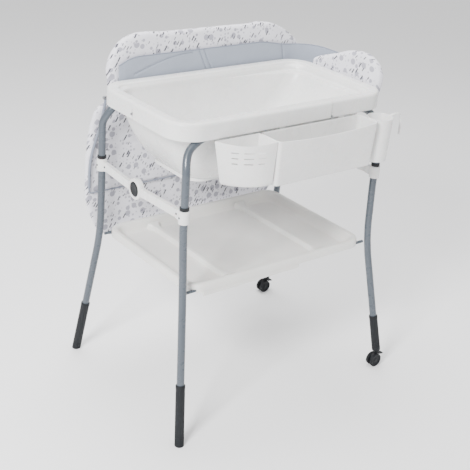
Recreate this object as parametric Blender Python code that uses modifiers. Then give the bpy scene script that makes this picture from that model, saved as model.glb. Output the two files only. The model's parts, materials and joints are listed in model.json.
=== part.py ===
"""Folding changing table with a baby bath, a front organizer, a shelf tray and a padded mat.

Units are metres, +Z is up, X runs along the long side and -Y is the front.
The origin is on the floor under the middle of the frame.
"""

import math

import bmesh
import bpy
from mathutils import Matrix, Vector

OBJECT_NAME = "changing_table"
GAP = 0.0003            # running gap between neighbouring pieces

# Frame
TUBE_R = 0.011
POST_X = 0.352          # upright stretch of each leg
POST_Y = 0.214
BEND_X = 0.350          # where a leg starts to splay
BEND_Y = 0.2225
BEND_Z = 0.443
FOOT_X = 0.391
CASTER_X = 0.404
FOOT_Y = 0.301
JOINT_Z = 0.664         # where a leg plugs into its bow
RAIL_Z = 0.874
RAIL_Y = 0.193
BOW_R = 0.090
SLEEVE_R = 0.014
SLEEVE_TOP = 0.180
CASTER_TOP = 0.051
ROD_R = 0.0045
ROD_Y = 0.2175
ROD_Z = 0.4360

# Side braces
CLIP_R = 0.0158
CLIP_LOW = 0.649
CLIP_HIGH = 0.6865
BAR_T = 0.012
BAR_H = 0.024
BOSS_Y = 0.022
BOSS_Z = 0.660
BOSS_R = 0.031
BUTTON_R = 0.0215
BUTTON_STROKE = 0.004

# Bath
RIM_X = 0.376
RIM_Y = 0.2125
RIM_R = 0.080
RIM_TOP = 0.9165
RIM_LOW = 0.868
RIM_W = 0.037
WALL = 0.0035
BATH_FLOOR = 0.712
PLUG_X = -0.150
PLUG_Y = 0.0

# Shelf tray
TRAY_X = 0.325
TRAY_Y = 0.230
TRAY_TOP = 0.455
TRAY_LOW = 0.430
TRAY_FLOOR = 0.4255

# Organizer
ORG_TOP = 0.862
ORG_LOW = 0.730
ORG_BACK = -0.2080
ORG_FRONT = -0.290
ORG_LEFT = -0.112
ORG_RIGHT = 0.2600
ORG_WALL = 0.0026
SLAT_LEFT = -0.262
CUP_X = 0.3015
CUP_Y = -0.2525
CUP_R = 0.0385
STRAP_T = 0.002         # hangers that hold the organizer on the front rail

# Mat
MAT_Y = 0.2660          # middle plane of the hanging board
MAT_T = 0.026
MAT_TOP = 0.846
MAT_SEAM_Z = 0.564
MAT_LOW = 0.397
HINGE_Y = 0.2470
HINGE_Z = 0.8570
HINGE_R = 0.005
PAD_Y = 0.2400          # middle plane of the rear bolster
PAD_T = 0.034
BAND_T = 0.007
BAND_LOW = 0.888
BAND_TOP = 0.978
BAND_CORNER_X = 0.333   # centre of the lining's turn round the rear right corner
BAND_CORNER_R = 0.085
BAND_END_Y = 0.040

# Casters
WHEEL_R = 0.0225
WHEEL_W = 0.009
WHEEL_TRAIL = 0.008

COLOURS = {
    "paint": ((0.216, 0.254, 0.296), 0.28, 0.0),
    "white": ((0.80, 0.80, 0.78), 0.30, 0.0),
    "cream": ((0.83, 0.81, 0.76), 0.35, 0.0),
    "rubber": ((0.045, 0.050, 0.056), 0.75, 0.0),
    "dark": ((0.050, 0.055, 0.060), 0.45, 0.0),
    "steel": ((0.45, 0.46, 0.48), 0.25, 1.0),
    "print": ((0.74, 0.74, 0.80), 0.90, 0.0),
    "grey": ((0.42, 0.46, 0.53), 0.92, 0.0),
}


def clear_scene():
    for obj in list(bpy.data.objects):
        bpy.data.objects.remove(obj)


def collection(name):
    group = bpy.data.collections.new(name)
    bpy.context.scene.collection.children.link(group)
    return group


def material(name):
    found = bpy.data.materials.get(name)
    if found:
        return found
    colour, roughness, metallic = COLOURS[name]
    made = bpy.data.materials.new(name)
    made.use_nodes = True
    shader = made.node_tree.nodes["Principled BSDF"]
    shader.inputs["Base Color"].default_value = (*colour, 1.0)
    shader.inputs["Roughness"].default_value = roughness
    shader.inputs["Metallic"].default_value = metallic
    return made


def add(name, data, finish, parent=None):
    obj = bpy.data.objects.new(name, data)
    PARTS.objects.link(obj)
    if finish:
        obj.data.materials.append(material(finish))
    if parent:
        obj.parent = parent
    return obj


def cutter(name, data):
    obj = bpy.data.objects.new(name, data)
    CUTTERS.objects.link(obj)
    obj.hide_render = True
    obj.display_type = "WIRE"
    return obj


def smooth(obj, angle=35):
    obj.data.shade_smooth()
    obj.data.set_sharp_from_angle(angle=math.radians(angle))


def boolean(obj, other, operation):
    mod = obj.modifiers.new(operation.lower(), "BOOLEAN")
    mod.operation = operation
    mod.object = other


def mirror_y(points):
    return [(x, -y, z) for x, y, z in points]


def rounded(points, radii, steps=6):
    """Corner points of a flat outline, each replaced by an arc-like curve of its radius."""
    outline = []
    count = len(points)
    for i, corner in enumerate(points):
        here = Vector(corner)
        before = Vector(points[i - 1]) - here
        after = Vector(points[(i + 1) % count]) - here
        radius = radii[i] if isinstance(radii, (list, tuple)) else radii
        if radius <= 0:
            outline.append(tuple(here))
            continue
        half = before.angle(after) / 2
        reach = min(radius / math.tan(half), before.length * 0.49, after.length * 0.49)
        radius = reach * math.tan(half)
        start = here + before.normalized() * reach
        end = here + after.normalized() * reach
        centre = here + (before.normalized() + after.normalized()).normalized() * (
            radius / math.sin(half))
        for k in range(steps + 1):
            point = start.lerp(end, k / steps)
            arm = (point - centre).normalized() * radius
            outline.append(tuple(centre + arm))
    return outline


def bent(points, reach, steps=6):
    """A path whose inner corners are eased over the given reach on each side."""
    path = [Vector(points[0])]
    for i in range(1, len(points) - 1):
        here = Vector(points[i])
        start = here + (Vector(points[i - 1]) - here).normalized() * reach
        end = here + (Vector(points[i + 1]) - here).normalized() * reach
        for k in range(steps + 1):
            t = k / steps
            path.append(start * (1 - t) ** 2 + here * 2 * t * (1 - t) + end * t * t)
    path.append(Vector(points[-1]))
    return path


def tube(name, points, radius, finish, parent=None, resolution=4):
    data = bpy.data.curves.new(name, "CURVE")
    data.dimensions = "3D"
    data.bevel_depth = radius
    data.bevel_resolution = resolution
    data.use_fill_caps = True
    spline = data.splines.new("POLY")
    spline.points.add(len(points) - 1)
    for slot, point in zip(spline.points, points):
        slot.co = (*point, 1.0)
    return add(name, data, finish, parent)


def plate(name, outlines, thickness, finish, parent=None):
    """A flat outline with holes, drawn in the local XY plane and centred on it."""
    data = bpy.data.curves.new(name, "CURVE")
    data.dimensions = "2D"
    data.fill_mode = "BOTH"
    data.extrude = thickness / 2
    for outline in outlines:
        spline = data.splines.new("POLY")
        spline.points.add(len(outline) - 1)
        for slot, point in zip(spline.points, outline):
            slot.co = (point[0], point[1], 0.0, 1.0)
        spline.use_cyclic_u = True
    return add(name, data, finish, parent)


def face_front(obj, x, y, z):
    """Stands a plate up in the XZ plane, its thickness along Y."""
    obj.rotation_euler = (math.pi / 2, 0, 0)
    obj.location = (x, y, z)


def face_side(obj, x, y, z):
    """Stands a plate up in the YZ plane, its thickness along X."""
    obj.rotation_euler = (math.pi / 2, 0, math.pi / 2)
    obj.location = (x, y, z)


def circle(radius, count=24, centre=(0.0, 0.0)):
    turns = [2 * math.pi * k / count for k in range(count)]
    return [(centre[0] + radius * math.cos(a), centre[1] + radius * math.sin(a)) for a in turns]


def turned(name, profile, finish, steps=24, parent=None):
    """A profile of (radius, height) pairs turned about the local Z axis."""
    mesh = bpy.data.meshes.new(name)
    bm = bmesh.new()
    verts = [bm.verts.new((r, 0, z)) for r, z in profile]
    closed = profile[0][0] > 0.0001
    for a, b in zip(verts, verts[1:]):
        bm.edges.new((a, b))
    if closed:
        bm.edges.new((verts[-1], verts[0]))
    bm.to_mesh(mesh)
    bm.free()
    obj = add(name, mesh, finish, parent)
    screw = obj.modifiers.new("turn", "SCREW")
    screw.steps = steps
    screw.render_steps = steps
    screw.use_merge_vertices = True
    screw.merge_threshold = 0.0001
    return obj


def pipe_profile(bore, outer, low, high, edge=0.0006):
    """A ring's closed section, top to bottom on the outer side and back up the bore."""
    return [(bore, high), (outer - edge, high), (outer, high - edge),
            (outer, low + edge), (outer - edge, low), (bore, low)]


def rounded_ring(half_x, half_y, radius, z, centre_x=0.0, centre_y=0.0, per_corner=7):
    """A closed loop of points: a rectangle with round corners at one height."""
    loop = []
    for sx, sy, start in ((1, 1, 0), (-1, 1, 90), (-1, -1, 180), (1, -1, 270)):
        for k in range(per_corner + 1):
            a = math.radians(start + 90 * k / per_corner)
            x = centre_x + sx * (half_x - radius) + radius * math.cos(a)
            y = centre_y + sy * (half_y - radius) + radius * math.sin(a)
            loop.append((x, y, z))
    return loop


def lofted(name, rings, finish, parent=None):
    """Rings of equal length skinned in order, with the first and last one capped."""
    mesh = bpy.data.meshes.new(name)
    bm = bmesh.new()
    loops = [[bm.verts.new(p) for p in ring] for ring in rings]
    count = len(rings[0])
    for low, high in zip(loops, loops[1:]):
        for i in range(count):
            j = (i + 1) % count
            bm.faces.new((low[i], low[j], high[j], high[i]))
    bm.faces.new(list(reversed(loops[0])))
    bm.faces.new(loops[-1])
    bmesh.ops.recalc_face_normals(bm, faces=bm.faces)
    bmesh.ops.triangulate(bm, faces=bm.faces)
    bm.to_mesh(mesh)
    bm.free()
    return add(name, mesh, finish, parent) if finish else mesh


def block_mesh(name, low, high, edge=0.0):
    """A box between two corners, its edges chamfered."""
    mesh = bpy.data.meshes.new(name)
    bm = bmesh.new()
    size = Vector(high) - Vector(low)
    middle = (Vector(high) + Vector(low)) / 2
    bmesh.ops.create_cube(bm, size=1.0, matrix=Matrix.Translation(middle) @ Matrix.Diagonal((*size, 1)))
    if edge:
        bmesh.ops.bevel(bm, geom=bm.edges[:], offset=edge, segments=1, affect="EDGES")
    bm.to_mesh(mesh)
    bm.free()
    return mesh


def block(name, low, high, finish, edge=0.0, parent=None):
    return add(name, block_mesh(name, low, high, edge), finish, parent)


def rod_mesh(name, start, end, radius, sides=16):
    mesh = bpy.data.meshes.new(name)
    bm = bmesh.new()
    along = Vector(end) - Vector(start)
    turn = along.to_track_quat("Z", "Y").to_matrix().to_4x4()
    place = Matrix.Translation((Vector(start) + Vector(end)) / 2) @ turn
    bmesh.ops.create_cone(bm, cap_ends=True, segments=sides, radius1=radius, radius2=radius,
                          depth=along.length, matrix=place)
    bm.to_mesh(mesh)
    bm.free()
    return mesh


def bow(name, side):
    """The upper hoop of one leg frame: two posts and a top rail under the bath's rim."""
    path = [(-POST_X, POST_Y, JOINT_Z + GAP)]
    low = RAIL_Z - BOW_R
    for k in range(13):
        a = math.radians(90 * k / 12)
        lean = min(1.0, k / 6)
        ease = lean * lean * (3 - 2 * lean)
        x = -POST_X + BOW_R * (1 - math.cos(a))
        y = POST_Y + (RAIL_Y - POST_Y) * ease
        path.append((x, y, low + BOW_R * math.sin(a)))
    path += [(-x, y, z) for x, y, z in reversed(path)]
    if side < 0:
        path = mirror_y(path)
    return tube(name, path, TUBE_R, "paint")


def leg_axis(side_x, side_y, foot_x, z):
    """The leg's centre line below its bend, at a height."""
    t = z / BEND_Z
    x = foot_x + (BEND_X - foot_x) * t
    y = FOOT_Y + (BEND_Y - FOOT_Y) * t
    return Vector((side_x * x, side_y * y, z))


def leg(name, side_x, side_y, foot_x, end_z):
    points = [
        (side_x * POST_X, side_y * POST_Y, JOINT_Z),
        (side_x * POST_X, side_y * POST_Y, JOINT_Z - 0.045),
        (side_x * BEND_X, side_y * BEND_Y, BEND_Z),
        leg_axis(side_x, side_y, foot_x, end_z),
    ]
    path = bent(points[1:], 0.07)
    return tube(name, [Vector(points[0])] + path, TUBE_R, "paint")


def sleeve(name, side_x, side_y, foot_x, low_z, tip):
    """A rubber sock over the leg's end; tip is how far its closed end reaches below the tube."""
    top = leg_axis(side_x, side_y, foot_x, SLEEVE_TOP)
    low = leg_axis(side_x, side_y, foot_x, low_z)
    length = (top - low).length
    bore = TUBE_R + GAP
    profile = [(0, 0), (SLEEVE_R - 0.002, 0), (SLEEVE_R, 0.002), (SLEEVE_R, length - 0.002),
               (SLEEVE_R - 0.001, length), (bore, length), (bore, tip), (0, tip)]
    obj = turned(name, list(reversed(profile)), "rubber", 20)
    obj.location = low
    obj.rotation_euler = (top - low).to_track_quat("Z", "Y").to_euler()
    if low_z < 0:
        ground = block_mesh(name + "_ground", (low.x - 0.03, low.y - 0.03, -0.03),
                            (low.x + 0.03, low.y + 0.03, 0))
        boolean(obj, cutter(name + "_ground", ground), "DIFFERENCE")
    smooth(obj)


def legs_and_sleeves():
    for tag, sx, sy in (("front_left", -1, -1), ("rear_left", -1, 1),
                        ("front_right", 1, -1), ("rear_right", 1, 1)):
        foot_x = FOOT_X if sx < 0 else CASTER_X
        low = -0.0045 if sx < 0 else CASTER_TOP + 0.004
        tip = 0.020 if sx < 0 else 0.010
        axis = (leg_axis(sx, sy, foot_x, SLEEVE_TOP) - leg_axis(sx, sy, foot_x, 0)).normalized()
        end_z = low + (tip + GAP) * axis.z
        leg("leg_" + tag, sx, sy, foot_x, end_z)
        sleeve("sleeve_" + tag, sx, sy, foot_x, low, tip)


def clip(name, sx, sy):
    """The white clamp round a post, with the lug that holds the side brace."""
    ring = turned(name, pipe_profile(TUBE_R + GAP, CLIP_R, CLIP_LOW, CLIP_HIGH, 0.001), "white", 28)
    ring.location = (sx * POST_X, sy * POST_Y, 0)
    near = sy * (POST_Y - TUBE_R - 0.0025)
    far = sy * (POST_Y - 0.036)
    low = (sx * POST_X - BAR_T / 2 - 0.001, min(near, far), CLIP_LOW + 0.004)
    high = (sx * POST_X + BAR_T / 2 + 0.001, max(near, far), CLIP_HIGH - 0.005)
    lug = cutter(name + "_lug", block_mesh(name + "_lug", low, high, 0.0012))
    boolean(ring, lug, "UNION")
    smooth(ring)


def collar(name, sx, sy):
    profile = pipe_profile(TUBE_R + GAP, TUBE_R + 0.0022, CLIP_HIGH + GAP, CLIP_HIGH + 0.010)
    ring = turned(name, profile, "dark", 24)
    ring.location = (sx * POST_X, sy * POST_Y, 0)
    smooth(ring)


def brace_half(name, sx, sy):
    """One half of the folding side brace, from the clip's lug to the boss in the middle."""
    start = sy * (POST_Y - 0.0365)
    reach = BOSS_R + GAP
    half = BAR_H / 2
    end = BOSS_Y + sy * math.sqrt(reach ** 2 - half ** 2) + sy * GAP
    mid_z = (CLIP_LOW + CLIP_HIGH) / 2
    outline = [(start, mid_z - half), (end, BOSS_Z - half)]
    sweep = math.asin(half / reach)
    for k in range(1, 6):
        a = sweep * (2 * k / 6 - 1)
        outline.append((BOSS_Y + sy * (reach * math.cos(a) + GAP), BOSS_Z + reach * math.sin(a)))
    outline += [(end, BOSS_Z + half), (start, mid_z + half)]
    obj = plate(name, [outline], BAR_T, "white")
    face_side(obj, sx * POST_X, 0, 0)
    return obj


def boss(name, sx):
    """The round hub where the brace halves lock, with a pocket for its button."""
    depth = BAR_T / 2 + 0.003
    pocket = BUTTON_R + GAP * 2
    profile = [(0, -0.004), (pocket, -0.004), (pocket, depth), (BOSS_R - 0.003, depth),
               (BOSS_R, depth - 0.003), (BOSS_R, -depth + 0.002), (BOSS_R - 0.002, -depth),
               (0, -depth)]
    hub = turned(name, profile, "white", 36)
    place_on_side(hub, sx)
    smooth(hub)


def place_on_side(obj, sx):
    """Turns a piece's local +Z to the outside of the left or right brace."""
    obj.location = (sx * POST_X, BOSS_Y, BOSS_Z)
    obj.rotation_euler = (0, sx * math.pi / 2, 0)


def button(name, sx):
    face = BAR_T / 2 + 0.0035
    back = face - 0.006
    profile = [(0, face), (BUTTON_R - 0.006, face - 0.0003), (BUTTON_R - 0.0015, face - 0.0014),
               (BUTTON_R, face - 0.003), (BUTTON_R, back), (0, back)]
    cap = turned(name, profile, "dark", 32)
    place_on_side(cap, sx)
    smooth(cap)


def button_spring(name, sx):
    """The compression spring behind the lock button."""
    low = -0.004 + GAP + 0.0005
    high = BAR_T / 2 + 0.0035 - 0.006 - GAP - 0.0005
    turns = 3
    steps = 12
    path = []
    for k in range(turns * steps + 1):
        a = 2 * math.pi * k / steps
        z = low + (high - low) * k / (turns * steps)
        path.append((0.009 * math.cos(a), 0.009 * math.sin(a), z))
    coil = tube(name, path, 0.0005, "steel", resolution=2)
    place_on_side(coil, sx)


def side_braces():
    for side, sx in (("left", -1), ("right", 1)):
        for end, sy in (("front", -1), ("rear", 1)):
            clip("clip_%s_%s" % (end, side), sx, sy)
            collar("collar_%s_%s" % (end, side), sx, sy)
            brace_half("brace_%s_%s" % (side, end), sx, sy)
        boss("brace_boss_" + side, sx)
        button("lock_button_" + side, sx)
        button_spring("lock_spring_" + side, sx)


def cross_rods():
    for tag, sy in (("front", -1), ("rear", 1)):
        half = 0.3375
        path = [(-half, sy * ROD_Y, ROD_Z), (half, sy * ROD_Y, ROD_Z)]
        tube("cross_rod_" + tag, path, ROD_R, "paint")


def bath():
    """The moulded bath: a rolled rim with a deep skirt, and a seat slope at the right end."""
    body_x = RIM_X - RIM_W
    body_y = RIM_Y - RIM_W
    inner_r = RIM_R - 0.018
    edge = 0.005
    under = RAIL_Z + TUBE_R + STRAP_T + 2 * GAP
    rings = [
        rounded_ring(0.218, 0.108, 0.060, BATH_FLOOR - WALL, -0.028),
        rounded_ring(0.246, 0.128, 0.066, BATH_FLOOR + 0.010, -0.022),
        rounded_ring(0.318, 0.158, 0.072, 0.800, -0.003),
        rounded_ring(body_x + WALL, body_y + WALL, inner_r, under - 0.012),
        rounded_ring(body_x + WALL + 0.002, body_y + WALL + 0.002, inner_r, under),
        rounded_ring(RIM_X - WALL, RIM_Y - WALL, RIM_R - WALL, under),
        rounded_ring(RIM_X - WALL, RIM_Y - WALL, RIM_R - WALL, RIM_LOW),
        rounded_ring(RIM_X, RIM_Y, RIM_R, RIM_LOW),
        rounded_ring(RIM_X, RIM_Y, RIM_R, RIM_TOP - 2 * edge),
        rounded_ring(RIM_X - edge * 0.6, RIM_Y - edge * 0.6, RIM_R - edge * 0.6, RIM_TOP - edge / 2),
        rounded_ring(RIM_X - 2 * edge, RIM_Y - 2 * edge, RIM_R - 2 * edge, RIM_TOP),
        rounded_ring(body_x + edge, body_y + edge, inner_r + edge, RIM_TOP - 0.001),
        rounded_ring(body_x, body_y, inner_r, RIM_TOP - 0.008),
        rounded_ring(body_x - 0.004, body_y - 0.004, inner_r, 0.890),
        rounded_ring(body_x - 0.022, body_y - 0.009, inner_r, 0.884, -0.016),
        rounded_ring(0.262, 0.146, 0.070, 0.800, -0.044),
        rounded_ring(0.172, 0.116, 0.062, BATH_FLOOR + 0.014, -0.086),
        rounded_ring(0.150, 0.100, 0.056, BATH_FLOOR, -0.090),
    ]
    tub = lofted("bath", rings, "white")
    hole = cutter("drain_cut", rod_mesh("drain_cut", (PLUG_X, PLUG_Y, 0.65),
                                        (PLUG_X, PLUG_Y, 0.75), 0.0165, 24))
    boolean(tub, hole, "DIFFERENCE")
    notch = 0.004
    cuts = (
        ("notch_left", (-RIM_X - 0.01, 0.019 - notch, RIM_LOW - 0.01),
         (-RIM_X + 0.02, 0.019 + notch, 0.893)),
        ("notch_front", (0.147 - notch, -RIM_Y - 0.01, RIM_LOW - 0.01),
         (0.147 + notch, -RIM_Y + WALL + 0.001, 0.882)),
    )
    for name, low, high in cuts:
        boolean(tub, cutter(name, block_mesh(name, low, high)), "DIFFERENCE")
    smooth(tub)


def rim_pins():
    """Small steel pins that stand in the notches of the bath's skirt."""
    left = add("rim_pin_left", rod_mesh("rim_pin_left", (-RIM_X - 0.0015, 0.019, 0.884),
                                        (-RIM_X + 0.0195, 0.019, 0.884), 0.0032), "steel")
    front = add("rim_pin_front", rod_mesh("rim_pin_front", (0.147, -RIM_Y - 0.0015, 0.872),
                                          (0.147, -RAIL_Y - TUBE_R - GAP, 0.872), 0.0032), "steel")
    smooth(left)
    smooth(front)


def drain_plug():
    top = BATH_FLOOR + GAP
    profile = [(0, top + 0.011), (0.004, top + 0.011), (0.005, top + 0.010), (0.005, top + 0.004),
               (0.020, top + 0.003), (0.021, top + 0.0015), (0.021, top), (0.0160, top),
               (0.0150, top - 0.012), (0, top - 0.012)]
    plug = turned("drain_plug", profile, "white", 28)
    plug.location = (PLUG_X, PLUG_Y, 0)
    smooth(plug)


def shelf_tray():
    """The shelf under the bath: a shallow basin with a turned-down edge and two ribs."""
    seat = ROD_Z + ROD_R + GAP
    rings = [
        rounded_ring(TRAY_X - 0.040, TRAY_Y - 0.040, 0.030, TRAY_FLOOR - 0.003),
        rounded_ring(TRAY_X - 0.022, TRAY_Y - 0.022, 0.034, TRAY_LOW + 0.004),
        rounded_ring(TRAY_X - 0.021, TRAY_Y - 0.021, 0.034, seat),
        rounded_ring(TRAY_X - 0.003, TRAY_Y - 0.003, 0.042, seat),
        rounded_ring(TRAY_X - 0.003, TRAY_Y - 0.003, 0.042, TRAY_LOW),
        rounded_ring(TRAY_X, TRAY_Y, 0.045, TRAY_LOW),
        rounded_ring(TRAY_X, TRAY_Y, 0.045, TRAY_TOP - 0.004),
        rounded_ring(TRAY_X - 0.002, TRAY_Y - 0.002, 0.043, TRAY_TOP - 0.001),
        rounded_ring(TRAY_X - 0.005, TRAY_Y - 0.005, 0.040, TRAY_TOP),
        rounded_ring(TRAY_X - 0.016, TRAY_Y - 0.016, 0.036, TRAY_TOP - 0.001),
        rounded_ring(TRAY_X - 0.021, TRAY_Y - 0.021, 0.032, TRAY_TOP - 0.006),
        rounded_ring(TRAY_X - 0.036, TRAY_Y - 0.036, 0.028, TRAY_FLOOR + 0.003),
        rounded_ring(TRAY_X - 0.042, TRAY_Y - 0.042, 0.026, TRAY_FLOOR),
    ]
    tray = lofted("shelf_tray", rings, "cream")
    for tag, x in (("left", -0.172), ("right", 0.170)):
        length = TRAY_Y - 0.036
        rib = block_mesh("rib_" + tag, (x - 0.008, -length, TRAY_FLOOR - 0.0029),
                         (x + 0.008, length, TRAY_TOP - 0.013), 0.0028)
        boolean(tray, cutter("rib_" + tag, rib), "UNION")
    slot = ROD_R + 0.0009
    for tag, sx, sy in (("a", -1, -1), ("b", -1, 1), ("c", 1, -1), ("d", 1, 1)):
        ends = sorted((sx * 0.262, sx * 0.340))
        sides = sorted((sy * (ROD_Y - slot), sy * (ROD_Y + slot)))
        notch = block_mesh("rod_notch_" + tag, (ends[0], sides[0], 0.410),
                           (ends[1], sides[1], ROD_Z + ROD_R + GAP))
        boolean(tray, cutter("rod_notch_" + tag, notch), "DIFFERENCE")
    lip = block_mesh("tray_lip", (-0.285, -TRAY_Y, TRAY_LOW - 0.012),
                     (0.066, -TRAY_Y + 0.003, TRAY_LOW + 0.003))
    boolean(tray, cutter("tray_lip", lip), "UNION")
    smooth(tray)


def sagged(ring, depth, left, right):
    """Lowers the front edge of a ring towards its middle."""
    middle = (left + right) / 2
    half = (right - left) / 2
    out = []
    for x, y, z in ring:
        front = max(0.0, min(1.0, (ORG_BACK - y) / (ORG_BACK - ORG_FRONT)))
        along = max(0.0, 1 - ((x - middle) / half) ** 2)
        out.append((x, y, z - depth * front * along))
    return out


def organizer_box():
    middle_x = (ORG_LEFT + ORG_RIGHT) / 2
    half_x = (ORG_RIGHT - ORG_LEFT) / 2
    middle_y = (ORG_BACK + ORG_FRONT) / 2
    half_y = (ORG_BACK - ORG_FRONT) / 2

    def ring(inset, z, radius):
        return rounded_ring(half_x - inset, half_y - inset, radius, z, middle_x, middle_y, 5)

    top = [sagged(ring(0, ORG_TOP, 0.014), 0.010, ORG_LEFT, ORG_RIGHT),
           sagged(ring(ORG_WALL, ORG_TOP, 0.0115), 0.010, ORG_LEFT, ORG_RIGHT)]
    rings = [ring(0.008, ORG_LOW, 0.010), ring(0.005, ORG_LOW + 0.003, 0.012), top[0], top[1],
             ring(0.005 + ORG_WALL, ORG_LOW + 0.006, 0.010), ring(0.012, ORG_LOW + 0.003, 0.008)]
    smooth(lofted("organizer_box", rings, "white"))


def bow_point(start, control, end, t):
    return tuple(a * (1 - t) ** 2 + b * 2 * t * (1 - t) + c * t * t
                 for a, b, c in zip(start, control, end))


def slatted_plan(inset, shrink):
    """Plan of the slatted box: straight back and right side, and a front bowed between them."""
    right = ORG_LEFT - 0.001 - inset
    back = ORG_BACK - inset
    left = SLAT_LEFT + shrink + inset * 1.6
    front = ORG_FRONT + 0.004 + shrink * 0.3 + inset * 1.4
    start = (left, back)
    end = (right, front)
    control = (left + 0.055 - inset * 0.2, front - 0.002 + inset * 0.4)
    steps = 12
    plan = [(right, back)] + [bow_point(start, control, end, k / steps) for k in range(steps + 1)]
    return plan, (start, control, end)


def slatted_box():
    """The small drainer at the organizer's left end, with three rows of slots in its front."""
    def ring(inset, shrink, z, dip=0.0):
        plan = slatted_plan(inset, shrink)[0]
        count = len(plan) - 2
        out = [(plan[0][0], plan[0][1], z)]
        for k, (x, y) in enumerate(plan[1:]):
            out.append((x, y, z - dip * math.sin(math.pi * k / count)))
        return list(reversed(out))

    rings = [ring(0, 0.026, ORG_LOW + 0.004), ring(0, 0, ORG_TOP, 0.006),
             ring(ORG_WALL, 0, ORG_TOP, 0.006), ring(ORG_WALL, 0.026, ORG_LOW + 0.007)]
    box = lofted("slatted_box", rings, "white")
    start, control, end = slatted_plan(0, 0.008)[1]
    slots = bmesh.new()
    for z in (0.8350, 0.8190, 0.8030):
        for a, b in ((0.22, 0.34), (0.42, 0.60), (0.67, 0.81)):
            p = Vector(bow_point(start, control, end, a))
            q = Vector(bow_point(start, control, end, b))
            along = q - p
            angle = math.atan2(along.y, along.x)
            middle = (p + q) / 2
            place = (Matrix.Translation((middle.x, middle.y, z)) @ Matrix.Rotation(angle, 4, "Z")
                     @ Matrix.Diagonal((along.length, 0.020, 0.0024, 1)))
            bmesh.ops.create_cube(slots, size=1.0, matrix=place)
    mesh = bpy.data.meshes.new("slots")
    slots.to_mesh(mesh)
    slots.free()
    boolean(box, cutter("slots", mesh), "DIFFERENCE")
    smooth(box)


def cup():
    """The round holder at the right end, with a hanging hook on its rim."""
    low = ORG_LOW
    radius = CUP_R
    foot = radius - 0.005
    wall = ORG_WALL
    profile = [(0, low + 0.003), (foot - wall, low + 0.003), (radius - wall, ORG_TOP),
               (radius, ORG_TOP), (foot, low + 0.001), (foot - 0.001, low), (0, low)]
    body = turned("cup_holder", profile, "white", 32)
    body.location = (CUP_X, CUP_Y, 0)
    smooth(body)
    edge = CUP_X + radius
    path = bent([(edge - 0.0012, CUP_Y, ORG_TOP - 0.005), (edge + 0.024, CUP_Y, ORG_TOP + 0.003),
                 (edge + 0.051, CUP_Y, ORG_TOP - 0.006), (edge + 0.052, CUP_Y, ORG_TOP - 0.068)],
                0.020, 6)
    hook = tube("hook_cut", path, 0.0032, "white", resolution=2)
    mesh = bpy.data.meshes.new_from_object(hook.evaluated_get(bpy.context.evaluated_depsgraph_get()))
    bpy.data.objects.remove(hook)
    weld(mesh)
    boolean(body, cutter("hook_cut", mesh), "UNION")


def weld(mesh):
    bm = bmesh.new()
    bm.from_mesh(mesh)
    bmesh.ops.remove_doubles(bm, verts=bm.verts, dist=0.00001)
    bmesh.ops.recalc_face_normals(bm, faces=bm.faces)
    bm.to_mesh(mesh)
    bm.free()


def hangers():
    """Strips that hook the organizer over the front rail, behind the bath's skirt."""
    reach = TUBE_R + GAP
    for tag, x in (("left", -0.030), ("right", 0.190)):
        outline = []
        for k in range(11):
            a = math.radians(180 - 18 * k)
            outline.append((-RAIL_Y + reach * math.cos(a), RAIL_Z + reach * math.sin(a)))
        outer = reach + STRAP_T
        for k in range(11):
            a = math.radians(18 * k)
            outline.append((-RAIL_Y + outer * math.cos(a), RAIL_Z + outer * math.sin(a)))
        outline += [(-RAIL_Y - outer, 0.760), (-RAIL_Y - reach, 0.760)]
        obj = plate("organizer_hanger_" + tag, [outline], 0.022, "white")
        face_side(obj, x, 0, 0)


def mat():
    """The padded mat: a board hanging behind the legs and bolsters above the bath's rim."""
    half = 0.372
    seam = [(-0.318, MAT_TOP), (0.318, MAT_TOP), (0.334, 0.800), (half, 0.650), (half, MAT_SEAM_Z),
            (-half, MAT_SEAM_Z), (-half, 0.650), (-0.334, 0.800)]
    board = plate("mat_board", [rounded(seam, [0.02, 0.02, 0.1, 0.1, 0.03, 0.03, 0.1, 0.1], 4)],
                  MAT_T, "print")
    face_front(board, 0, MAT_Y, 0)
    wide = 0.384
    low_seam = MAT_SEAM_Z - GAP
    flap = [(-wide, low_seam), (wide, low_seam), (0.372, 0.470), (0.316, MAT_LOW),
            (-0.316, MAT_LOW), (-0.372, 0.470)]
    lower = plate("mat_flap", [rounded(flap, [0.004, 0.004, 0.08, 0.04, 0.04, 0.08], 5)],
                  MAT_T * 0.8, "print")
    face_front(lower, 0, MAT_Y, 0)
    for tag, sx in (("left", -1), ("right", 1)):
        path = bent([(sx * 0.322, HINGE_Y, HINGE_Z - HINGE_R - GAP - 0.0002),
                     (sx * 0.322, HINGE_Y, 0.80), (sx * 0.366, HINGE_Y, 0.70),
                     (sx * 0.366, HINGE_Y, 0.470)], 0.03, 5)
        tube("mat_arm_" + tag, [tuple(p) for p in path], 0.0045, "paint", resolution=3)


def mat_hinge():
    half = 0.330
    tube("mat_hinge_rod", [(-half, HINGE_Y, HINGE_Z), (half, HINGE_Y, HINGE_Z)], HINGE_R, "steel",
         resolution=3)
    for tag, sx in (("left", -1), ("right", 1)):
        hole = circle(HINGE_R + GAP, 16, (HINGE_Y, HINGE_Z))
        low = RAIL_Y + TUBE_R + GAP
        outline = rounded([(low, RIM_LOW - 0.0225), (HINGE_Y + 0.009, RIM_LOW - 0.0225),
                           (HINGE_Y + 0.009, RIM_LOW - 0.002), (low, RIM_LOW - 0.002)],
                          [0.001, 0.008, 0.006, 0.001], 4)
        ear = plate("mat_bracket_" + tag, [outline, hole], 0.010, "dark")
        face_side(ear, sx * 0.270, 0, 0)


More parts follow.
